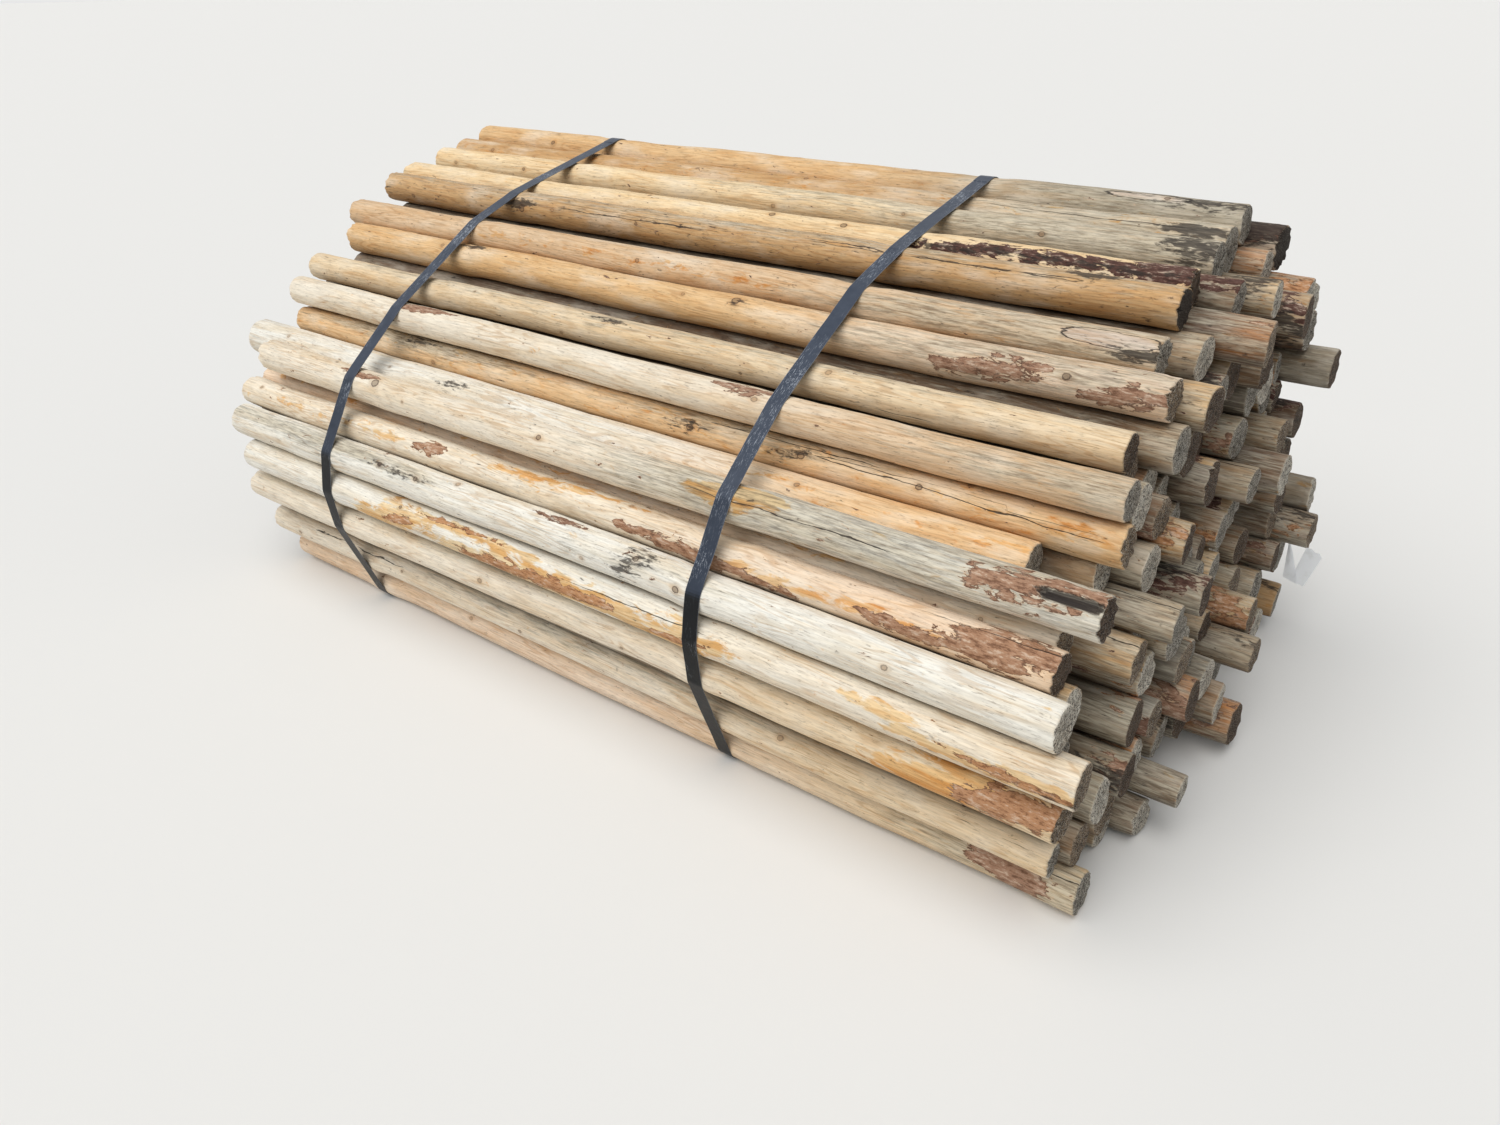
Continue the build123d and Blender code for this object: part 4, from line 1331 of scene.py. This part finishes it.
def saw_ends(post, rings, saw):
    """Place of each point along the bundle, with both ends sawn."""
    x = rings.x
    disc = np.stack((0 * x, np.cos(rings.theta), np.sin(rings.theta)), -1)
    reach = rings.reach
    for end, distance, inwards in ((0, rings.along, 1), (1, rings.from_near, -1)):
        lean = saw.uniform(0.0, MOST_LEAN)
        bearing = saw.uniform(0, 2 * math.pi)
        drop = lean * post.radius * (1 - reach * np.cos(rings.theta - bearing))
        grooves = soft_noise(disc * reach[..., None] * 4.5 + 7.7, post.seed + 40 + end)
        rough = SAW_ROUGHNESS * (1 + grooves)
        splinters = soft_noise(disc * 9 + 1.7, post.seed + 60 + end)
        torn = TORN_DEPTH * post.fray * reach ** 4 * np.maximum(splinters, 0)
        near_end = 1 - smooth_step(distance, 0.0, END_REACH)
        x = x + inwards * near_end * (drop + rough + torn)
    return x


print("an end is cut up to", round(math.degrees(math.atan(MOST_LEAN)), 1), "degrees askew")

# %% [markdown]
# Now one whole post. Its side gets slow lumps, a little wave, swollen knots and raised bark,
# and its axis a slight crook. A thin skin is taken off first, so that the shape lies a hair
# inside the frame's post where a strap presses on it, and every point is kept inside the box
# of the frame.

# %% Shape of one post
SKIN = 0.0004
LUMP_HEIGHT = 0.0016
RIPPLE_HEIGHT = 0.0005
BARK_HEIGHT = 0.0009
CROOK_SIDE = 0.0035
CROOK_UP = 0.0025
# The wood's pattern is the same for all posts, so each post takes it from another place.
PATTERN_SHIFT = 3.7


def sculpt_side(post, rings, marks, knot_swell):
    """Distance of each point from the axis, before its ends are made."""
    lumps = soft_noise(rings.unit * (7.0, 1.3, 1.3) + post.seed * 11.3, post.seed)
    ripple = soft_noise(rings.unit * (30.0, 3.5, 3.5) + post.seed * 5.7, post.seed + 500)
    swell = LUMP_HEIGHT * lumps + RIPPLE_HEIGHT * ripple + knot_swell
    swell += BARK_HEIGHT * smooth_step(marks[..., MARK_CHANNEL["bark"]], 0.4, 0.7)
    if post.hollow:
        swell -= add_hollow(post, rings, marks)
    return post.radius - SKIN + swell * rings.free


def shape_post(post, rings):
    """Points of one post as rings by columns, and what is painted on them."""
    marks = paint_marks(post, rings)
    knots, knot_swell = paint_knots(post, rings)
    cracks = paint_cracks(post, rings)
    radius = sculpt_side(post, rings, marks, knot_swell)
    tone = stem_tone(post, rings)
    if post not in FRONT_POSTS:
        tone = add_damp_and_shade(post, rings, tone, marks)
    if post.scar:
        tone = add_scar(post, rings, tone, marks, cracks)

    radius = wear_rims(post, rings, radius) * rings.reach
    saw = random.Random(post.seed * 3 + 1)
    x = saw_ends(post, rings, saw)
    bend = saw.uniform(0, 2 * math.pi)
    along = math.pi * rings.along / rings.length
    crook = CROOK_SIDE * np.sin(along * 2 + bend) * rings.free
    rise = CROOK_UP * np.sin(along * 3 + 2 * bend) * rings.free
    across, up = radius * np.cos(rings.theta), radius * np.sin(rings.theta)
    y = np.clip(post.y + across + crook, cad_box[0][1] + SKIN, cad_box[1][1] - SKIN)
    z = np.clip(post.z + up + np.abs(rise), cad_box[0][2] + SKIN, cad_box[1][2] - SKIN)
    points = np.stack((x, y, z), -1)
    wood = np.stack((x + post.seed * PATTERN_SHIFT, across, up), -1)
    return points, {"wood": wood, "tone": tone, "marks": marks, "knot": knots,
                    "crack": cracks, "gap_shade": gap_shade_depth(post, points)[..., None]}


middle_post = FRONT_POSTS[9]
sample, _ = shape_post(middle_post, Rings(middle_post, 36, 50))
print("a front post is", round(float(np.ptp(sample[..., 2])) * 1000, 1), "mm high, crook and all")

# %% [markdown]
# The points become faces. Four neighbours on two rings make a quad, and a fan of triangles
# closes the middle of each end. Posts at the front get the finest mesh, other outer posts a
# coarser one, and buried posts, of which only the ends show, the coarsest.

# %% Faces of one post
# Columns round a post and rings along its side
FRONT_FINENESS = (36, 250)
OUTER_FINENESS = (26, 130)
BURIED_FINENESS = (18, 36)
RIM_SHARE = 0.5


def ring_faces(count, columns):
    """Quads between the rings, fans over the middles, and which quads lie on an end face."""
    ring, column = np.meshgrid(np.arange(count - 1), np.arange(columns), indexing="ij")
    after = (column + 1) % columns
    quads = np.stack((ring * columns + column, ring * columns + after,
                      (ring + 1) * columns + after, (ring + 1) * columns + column), -1)
    faces = len(FACE_RINGS)
    on_face = ((ring < faces) | (ring >= count - 1 - faces)).reshape(-1)
    step = np.arange(columns)
    following = (step + 1) % columns
    last = (count - 1) * columns
    far_middle = np.full(columns, count * columns)
    fans = np.concatenate((np.stack((far_middle, following, step), -1),
                           np.stack((far_middle + 1, last + step, last + following), -1)))
    return quads.reshape(-1, 4), fans, on_face


def tint_ends(tone, end_tone):
    """Paint both end faces in the end's tone, and let it run over the rim."""
    faces = len(FACE_RINGS)
    tone[:faces] = end_tone
    tone[-faces:] = end_tone
    for row in (faces, -faces - 1):
        tone[row] = mixed(tone[row], np.array(end_tone), RIM_SHARE)


def post_arrays(post):
    """Vertices, faces and painted values of one post."""
    fineness = OUTER_FINENESS if post.outer else BURIED_FINENESS
    if post in FRONT_POSTS:
        fineness = FRONT_FINENESS
    points, values = shape_post(post, Rings(post, *fineness))
    tint_ends(values["tone"], post.end_tone)
    quads, fans, on_face = ring_faces(len(points), fineness[0])
    values["vertices"] = points
    built = {"quads": quads, "fans": fans, "on_face": on_face}
    for label, value in values.items():
        built[label] = np.concatenate((value.reshape(-1, value.shape[-1]),
                                       value[[0, -1]].mean(1)))
    return built


print("quads of one front post:", len(post_arrays(middle_post)["quads"]))

# %% [markdown]
# A layer is one Blender mesh with all its posts in it, which is far quicker to render and to
# export than 170 objects. The arrays go straight into the mesh: corners, then the list of
# which corners each face uses, then the painted values as named attributes for the shader.

# %% Meshes of the layers
ATTRIBUTES = (("wood", "FLOAT_VECTOR", "vector"), ("crack", "FLOAT_VECTOR", "vector"),
              ("tone", "FLOAT_COLOR", "color"), ("marks", "FLOAT_COLOR", "color"),
              ("knot", "FLOAT_COLOR", "color"), ("gap_shade", "FLOAT", "value"))


def join_posts(name, posts):
    """One mesh object with the posts of a layer, and its count of triangles."""
    built = [post_arrays(post) for post in posts]
    offsets = np.cumsum([0] + [len(one["vertices"]) for one in built])
    vertices = np.concatenate([one["vertices"] for one in built])
    quads = np.concatenate([one["quads"] + shift for one, shift in zip(built, offsets)])
    fans = np.concatenate([one["fans"] + shift for one, shift in zip(built, offsets)])
    used = np.concatenate((quads.reshape(-1), fans.reshape(-1)))
    starts = np.concatenate((np.arange(len(quads)) * 4, quads.size + np.arange(len(fans)) * 3))
    flat = np.concatenate([one["on_face"] for one in built] + [np.ones(len(fans), bool)])
    mesh = bpy.data.meshes.new(name)
    mesh.vertices.add(len(vertices))
    mesh.vertices.foreach_set("co", vertices.astype(np.float32).reshape(-1))
    mesh.loops.add(len(used))
    mesh.loops.foreach_set("vertex_index", used.astype(np.int32))
    mesh.polygons.add(len(starts))
    mesh.polygons.foreach_set("loop_start", starts.astype(np.int32))
    mesh.polygons.foreach_set("material_index", flat.astype(np.int32))
    mesh.polygons.foreach_set("use_smooth", ~flat)
    mesh.update(calc_edges=True)
    for label, kind, field in ATTRIBUTES:
        values = np.concatenate([one[label] for one in built]).astype(np.float32)
        mesh.attributes.new(label, kind, "POINT").data.foreach_set(field, values.reshape(-1))
    mesh.materials.append(PEELED_WOOD)
    mesh.materials.append(SAWN_END)
    return new_object(name, mesh), 2 * len(quads) + len(fans)


def dress_layers():
    """Replace every layer of the frame with its detailed posts."""
    total = 0
    for layer in LAYERS:
        piece, triangles = join_posts("peeled_" + layer, [post for post in POSTS
                                                          if post.layer == layer])
        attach(piece, "root")
        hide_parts(layer)
        total += triangles
        print(layer, triangles, "triangles")
    print("posts in all:", total, "triangles")


dress_layers()

# %% [markdown]
# The straps are painted steel band, drawn tight by a machine. Between two posts the band runs
# dead straight, and it bends sharply over each post. The frame's band is exact but perfectly
# even. So the cells below read its two edge loops, put more points on the long straight runs,
# and lay a new band through them that wanders sideways by a millimetre or so, as a hand-fed
# strap does.

# %% Edge of a strap of the frame
STRAP_STEP = 0.012
SAME_PLANE = 1e-5


def edge_loops(node):
    """Closed loops of (y, z) points along one edge of a strap of the frame."""
    corners, triangles = welded(node, 6)
    on_edge = corners[:, 0] > corners[:, 0].max() - SAME_PLANE
    beside = {}
    for triangle in triangles:
        pair = [corner for corner in triangle if on_edge[corner]]
        if len(pair) == 2:
            beside.setdefault(pair[0], []).append(pair[1])
            beside.setdefault(pair[1], []).append(pair[0])
    loops = []
    left = set(beside)
    while left:
        loop = [left.pop()]
        while True:
            following = [one for one in beside[loop[-1]] if one in left]
            if not following:
                break
            loop.append(following[0])
            left.discard(following[0])
        loops.append(corners[loop][:, 1:])
    return loops


def fill_runs(loop):
    """The same loop with more points on its long straight runs."""
    filled = []
    for one, following in zip(loop, np.roll(loop, -1, 0)):
        steps = max(1, math.ceil(math.dist(one, following) / STRAP_STEP))
        for step in range(steps):
            filled.append(one + (following - one) * step / steps)
    return np.array(filled)


def nearest_on(loop, points):
    """Nearest place on a loop to each of some points."""
    runs = np.roll(loop, -1, 0) - loop
    lengths = (runs ** 2).sum(1)
    away = points[:, None, :] - loop[None, :, :]
    share = np.clip((away * runs).sum(-1) / lengths, 0, 1)
    places = loop + share[..., None] * runs
    best = ((places - points[:, None, :]) ** 2).sum(-1).argmin(1)
    return places[np.arange(len(points)), best]


print("loops along an edge of a strap:", len(edge_loops("strap_near")))

# %% [markdown]
# The paint is black and smooth, so what faces the sky would reflect the sky's blue. Here that
# reflection is painted into its colour, more strongly the more a facet faces up. Where the band
# was dragged through the machine the paint is scuffed to a chalky grey. Its edges are lighter
# too, partly rubbed thin and partly a painted highlight. Dust settles on top, painted in together
# with more of the sky's sheen.

# %% Material: painted strap
PAINT_BLACK = paint(12, 13, 15)
SKY_REFLECTION_BLUE = paint(40, 48, 62)
DUST_AND_SKY_SHEEN = paint(84, 92, 106)
SCUFFED_AND_EDGE_HIGHLIGHT = paint(176, 182, 190)


def scuffs_and_edge_highlight(tree, place, broad):
    """Mask of scuffs, scratches and rubbed edges, the edges with a painted highlight as well."""
    scuff = patch(tree, place, ramp(tree, broad, 0.42, 0.72, 0.05, 0.42), stretch=0.5,
                  fineness=160.0, tear=1.5, softness=0.12)["Mask"]
    scratch = noise(tree, scaled(tree, place, (9.0, 1.0, 1.0)), 60.0, roughness=0.7)
    scratch = times(tree, ramp(tree, scratch, 0.56, 0.68, 0.0, 0.8),
                    ramp(tree, broad, 0.42, 0.62))
    lane = axes(tree, painted(tree, "band")["Vector"])["Y"]
    off_middle = sums(tree, "ABSOLUTE", sums(tree, "SUBTRACT", lane, 0.5))
    # Lighter edges of the band: paint rubbed thin there, and a painted highlight
    edge = ramp(tree, sums(tree, "MULTIPLY_ADD", broad, 0.06, off_middle), 0.5, 0.54)
    return sums(tree, "MAXIMUM", times(tree, scuff, 0.6),
                sums(tree, "MAXIMUM", scratch, times(tree, edge, 0.4)))


def make_strap_paint():
    """Black paint on steel band with a painted sky reflection, scuffed along the band, and rubbed
    bare at its edges with a painted highlight there.
    """
    material, tree, shader = start_material("strap_paint")
    place = add(tree, "ShaderNodeTexCoord").outputs["Object"]
    facing = axes(tree, add(tree, "ShaderNodeNewGeometry").outputs["Normal"])["Z"]
    broad = noise(tree, place, 7.0)
    # Painted sky reflection: the more a facet faces up, the more of the sky's blue is in its
    # colour
    sky = ramp(tree, facing, 0.1, 0.75)
    colour = blend(tree, sky, PAINT_BLACK, SKY_REFLECTION_BLUE)
    # Dust on the facets that face up, painted together with more of the sky's sheen
    dust_and_sheen = times(tree, noise(tree, place, 40.0, detail=4.0), 0.5)
    colour = blend(tree, times(tree, dust_and_sheen, sky), colour, DUST_AND_SKY_SHEEN)
    # Scuffs, scratches and lighter edges; the edges are partly a painted highlight
    worn = scuffs_and_edge_highlight(tree, place, broad)
    fill(tree, shader, {"Base Color": blend(tree, worn, colour, SCUFFED_AND_EDGE_HIGHLIGHT),
                        "Roughness": sums(tree, "MULTIPLY_ADD", worn, 0.3, 0.38),
                        "Specular IOR Level": 0.18,
                        "Normal": bumped(tree, noise(tree, place, 70.0), distance=0.0008,
                                         strength=0.5)})
    return material


STRAP_PAINT = make_strap_paint()
print("material made:", STRAP_PAINT.name)

# %% [markdown]
# The seals are bright galvanised sleeves crimped over the lap of each strap. Zinc is a metal,
# so its colour is that of its reflection. Old zinc dulls in patches, which are both darker and
# rougher, and one ragged patch drives both.

# %% Material: bright seals
SEAL_BRIGHT = paint(176, 180, 184)
SEAL_DULL = paint(120, 122, 124)


def make_seal_steel():
    """Galvanised sleeve, dull and lightly scratched."""
    material, tree, shader = start_material("seal_steel")
    place = add(tree, "ShaderNodeTexCoord").outputs["Object"]
    scuff = patch(tree, place, 0.35, stretch=3.0, fineness=220.0, tear=1.4,
                  softness=0.15)["Mask"]
    fill(tree, shader, {"Base Color": blend(tree, scuff, SEAL_BRIGHT, SEAL_DULL),
                        "Metallic": 0.85,
                        "Roughness": sums(tree, "MULTIPLY_ADD", scuff, 0.25, 0.32)})
    return material


SEAL_STEEL = make_seal_steel()
print("material made:", SEAL_STEEL.name)

# %% [markdown]
# The band is a closed tube with a flat section: eight lanes across its outside and back again
# across its inside, one row of points for each point of the edge loop. Each point carries
# where it lies across the band, so that the paint knows its edges. The seals need no new
# shape, only the finish of bright steel.

# %% Shape of a strap
STRAP_COLUMNS = 8
STRAP_WANDER = 0.002
WANDER_SCALE = 6.0
WANDER_SEEDS = (301, 302)


def build_strap(side):
    """Band in place of a strap of the frame."""
    node = "strap_" + side
    low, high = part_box(node)
    inner_loop, outer_loop = sorted(edge_loops(node), key=np.ptp)
    outer = fill_runs(outer_loop)
    inner = nearest_on(inner_loop, outer)
    places = np.column_stack((np.full(len(outer), low[0]), outer)) * WANDER_SCALE
    slow, quick = WANDER_SEEDS
    wander = STRAP_WANDER * (soft_noise(places, slow) + 0.5 * soft_noise(places * 4, quick))
    inset = SKIN + STRAP_WANDER * 1.5
    shares = np.linspace(0, 1, STRAP_COLUMNS + 1)
    builder = bmesh.new()
    lane = builder.verts.layers.float_vector.new("band")
    rows = []
    for outside, inside, shift in zip(outer, inner, wander):
        row = []
        for (y, z), share in [(outside, share) for share in shares] + [
                (inside, share) for share in shares[::-1]]:
            x = low[0] + inset + shift + share * (high[0] - low[0] - 2 * inset)
            row.append(builder.verts.new((x, y, z)))
            row[-1][lane] = (0, share, 0)
        rows.append(row)
    for row, following in zip(rows, rows[1:] + rows[:1]):
        for column in range(len(row)):
            after = (column + 1) % len(row)
            builder.faces.new((row[column], row[after], following[after], following[column]))
    bmesh.ops.recalc_face_normals(builder, faces=builder.faces)
    mesh = bpy.data.meshes.new("band_" + side)
    builder.to_mesh(mesh)
    builder.free()
    mesh.materials.append(STRAP_PAINT)
    band = new_object("band_" + side, mesh)
    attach(band, "root")
    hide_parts(node)
    print(band.name, len(mesh.polygons), "faces")


def refinish(node, material):
    """Give a node of the frame a new material."""
    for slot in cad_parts[node].material_slots:
        slot.material = material


for side in ("near", "far"):
    build_strap(side)
    refinish("seals_" + side, SEAL_STEEL)

# %% [markdown]
# The tag is a bit of white card that has hung in the rain. Card is dull, and it takes up dirt
# in soft smudges with no edge, so a plain noise is enough and no ragged patch is needed.

# %% Material: tag card
CARD_WHITE = paint(252, 253, 254)
CARD_SMUDGE = paint(206, 206, 200)


def make_tag_card():
    """White card, dull with a few smudges."""
    material, tree, shader = start_material("tag_card")
    place = add(tree, "ShaderNodeTexCoord").outputs["Object"]
    smudge = ramp(tree, noise(tree, place, 45.0, detail=4.0), 0.5, 0.8, 0.0, 0.4)
    fill(tree, shader, {"Base Color": blend(tree, smudge, CARD_WHITE, CARD_SMUDGE),
                        "Roughness": 0.6})
    return material


TAG_CARD = make_tag_card()
print("material made:", TAG_CARD.name)

# %% [markdown]
# The card is folded once near the bottom and stapled on there, so that it stands open like a
# V. Rain and wind have curled it and torn the top of the narrow leaf. It could be two flat
# rectangles, but a flat card looks like a mistake. Each leaf is a small grid of points pulled
# into shape by its four corners, bent by a formula and then given the thickness of card.

# %% Shape of the tag
CARD_THICKNESS = 0.0005
LEAF_STEPS = 14
# Corners of each leaf in x and z, in metres
NARROW_LEAF = ((1.2775, 0.1405), (1.3172, 0.1312), (1.2713, 0.2284), (1.2655, 0.2405))
WIDE_LEAF = ((1.2956, 0.1379), (1.3310, 0.1301), (1.3550, 0.2138), (1.3118, 0.2239))
# How far each leaf bellies out, in metres, and how deep it is torn, as a share of its height
NARROW_BELLY, NARROW_TEAR = -0.004, 0.25
WIDE_BELLY, WIDE_TEAR = 0.003, 0.08
TEAR_WAVES = 7
TAG_FOOT = (0.696, 0.130)
TAG_LEAN = 0.39


def add_leaf(builder, corners, belly, tear):
    """One leaf of the tag as a bent grid between four corners, torn along its top."""
    grid = []
    for step in range(LEAF_STEPS + 1):
        share = step / LEAF_STEPS
        row = []
        for rise in range(LEAF_STEPS + 1):
            up = rise / LEAF_STEPS
            up *= 1 - tear * abs(math.sin(TEAR_WAVES * share + 1)) * share
            weights = ((1 - share) * (1 - up), share * (1 - up), share * up, (1 - share) * up)
            x = sum(weight * corner[0] for weight, corner in zip(weights, corners))
            z = sum(weight * corner[1] for weight, corner in zip(weights, corners))
            bent = belly * math.sin(math.pi * share) * (0.3 + 0.7 * up)
            y = TAG_FOOT[0] + TAG_LEAN * (z - TAG_FOOT[1]) + bent
            row.append(builder.verts.new((x, y, z)))
        grid.append(row)
    for row, following in zip(grid, grid[1:]):
        for rise in range(LEAF_STEPS):
            builder.faces.new((row[rise], following[rise], following[rise + 1], row[rise + 1]))


def build_tag():
    """Folded card in place of the frame's tag."""
    builder = bmesh.new()
    add_leaf(builder, NARROW_LEAF, NARROW_BELLY, NARROW_TEAR)
    add_leaf(builder, WIDE_LEAF, WIDE_BELLY, WIDE_TEAR)
    bmesh.ops.solidify(builder, geom=builder.faces[:], thickness=CARD_THICKNESS)
    builder.verts.index_update()
    # Solidify makes the rim's faces in another order each run, so all faces are sorted.
    faces = sorted([corner.index for corner in face.verts] for face in builder.faces)
    mesh = bpy.data.meshes.new("folded_tag")
    mesh.from_pydata([corner.co for corner in builder.verts], [], faces)
    builder.free()
    mesh.materials.append(TAG_CARD)
    tag = new_object("folded_tag", mesh)
    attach(tag, "root")
    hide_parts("tag")
    print("tag faces:", len(mesh.polygons))


build_tag()

# %% [markdown]
# The floor and the light. The bundle was seen under a cloudy sky, which is one huge soft lamp
# overhead. A sun lamp spread over seventy degrees does the same and, unlike a lamp in a room,
# lights the floor evenly all the way out. A pale world fills the shadows. What looks straight
# at the world sees a plain pale background instead of that fill.

# %% Floor and light
FLOOR_PALE = paint(226, 224, 220)
FLOOR_SIZE = 160
# The floor lies a hair below the bundle, so that their faces don't flicker into each other.
FLOOR_HEIGHT = -0.0003
SKY_FILL = (0.9, 0.95, 1.0, 1)
SKY_FILL_POWER = 0.32
SKY_PALE = paint(232, 232, 232)
LAMP_DIRECTION = (0.05, 0.5, -1.0)
LAMP_SPREAD = 70
LAMP_POWER = 2.8


def make_floor():
    """Plain pale floor."""
    bpy.ops.mesh.primitive_plane_add(size=FLOOR_SIZE, location=(0, 0, FLOOR_HEIGHT))
    floor = bpy.context.object
    floor.name = "floor"
    material, tree, shader = start_material("floor")
    fill(tree, shader, {"Base Color": FLOOR_PALE, "Roughness": 0.9})
    floor.data.materials.append(material)


def make_sky_lamp():
    """Light that falls from one side of a cloudy sky, softened by its wide spread."""
    data = bpy.data.lights.new("sky_lamp", "SUN")
    data.angle = math.radians(LAMP_SPREAD)
    data.energy = LAMP_POWER
    lamp = new_object("sky_lamp", data)
    lamp.rotation_euler = Vector(LAMP_DIRECTION).to_track_quat("-Z", "Y").to_euler()


def make_world():
    """Soft light from all round, and a pale background for what looks straight at it."""
    world = bpy.data.worlds.new("world")
    bpy.context.scene.world = world
    world.use_nodes = True
    tree = world.node_tree
    tree.nodes.clear()
    path = tree.nodes.new("ShaderNodeLightPath").outputs
    seen = sums(tree, "MAXIMUM", path["Is Camera Ray"],
                sums(tree, "MAXIMUM", path["Is Glossy Ray"], path["Is Transmission Ray"]))
    soft = add(tree, "ShaderNodeBackground", {0: SKY_FILL, 1: SKY_FILL_POWER}).outputs[0]
    pale = add(tree, "ShaderNodeBackground", {0: SKY_PALE, 1: 1.0}).outputs[0]
    shown = add(tree, "ShaderNodeMixShader", {0: seen, 1: soft, 2: pale}).outputs[0]
    add(tree, "ShaderNodeOutputWorld", {"Surface": shown})


make_floor()
make_world()
make_sky_lamp()
print("lamp spread over", LAMP_SPREAD, "degrees, floor", FLOOR_SIZE, "m wide")

# %% [markdown]
# Last, the looks must fill the same space as the frame. The view is set to Standard.

# %% View
bpy.context.scene.view_settings.view_transform = "Standard"
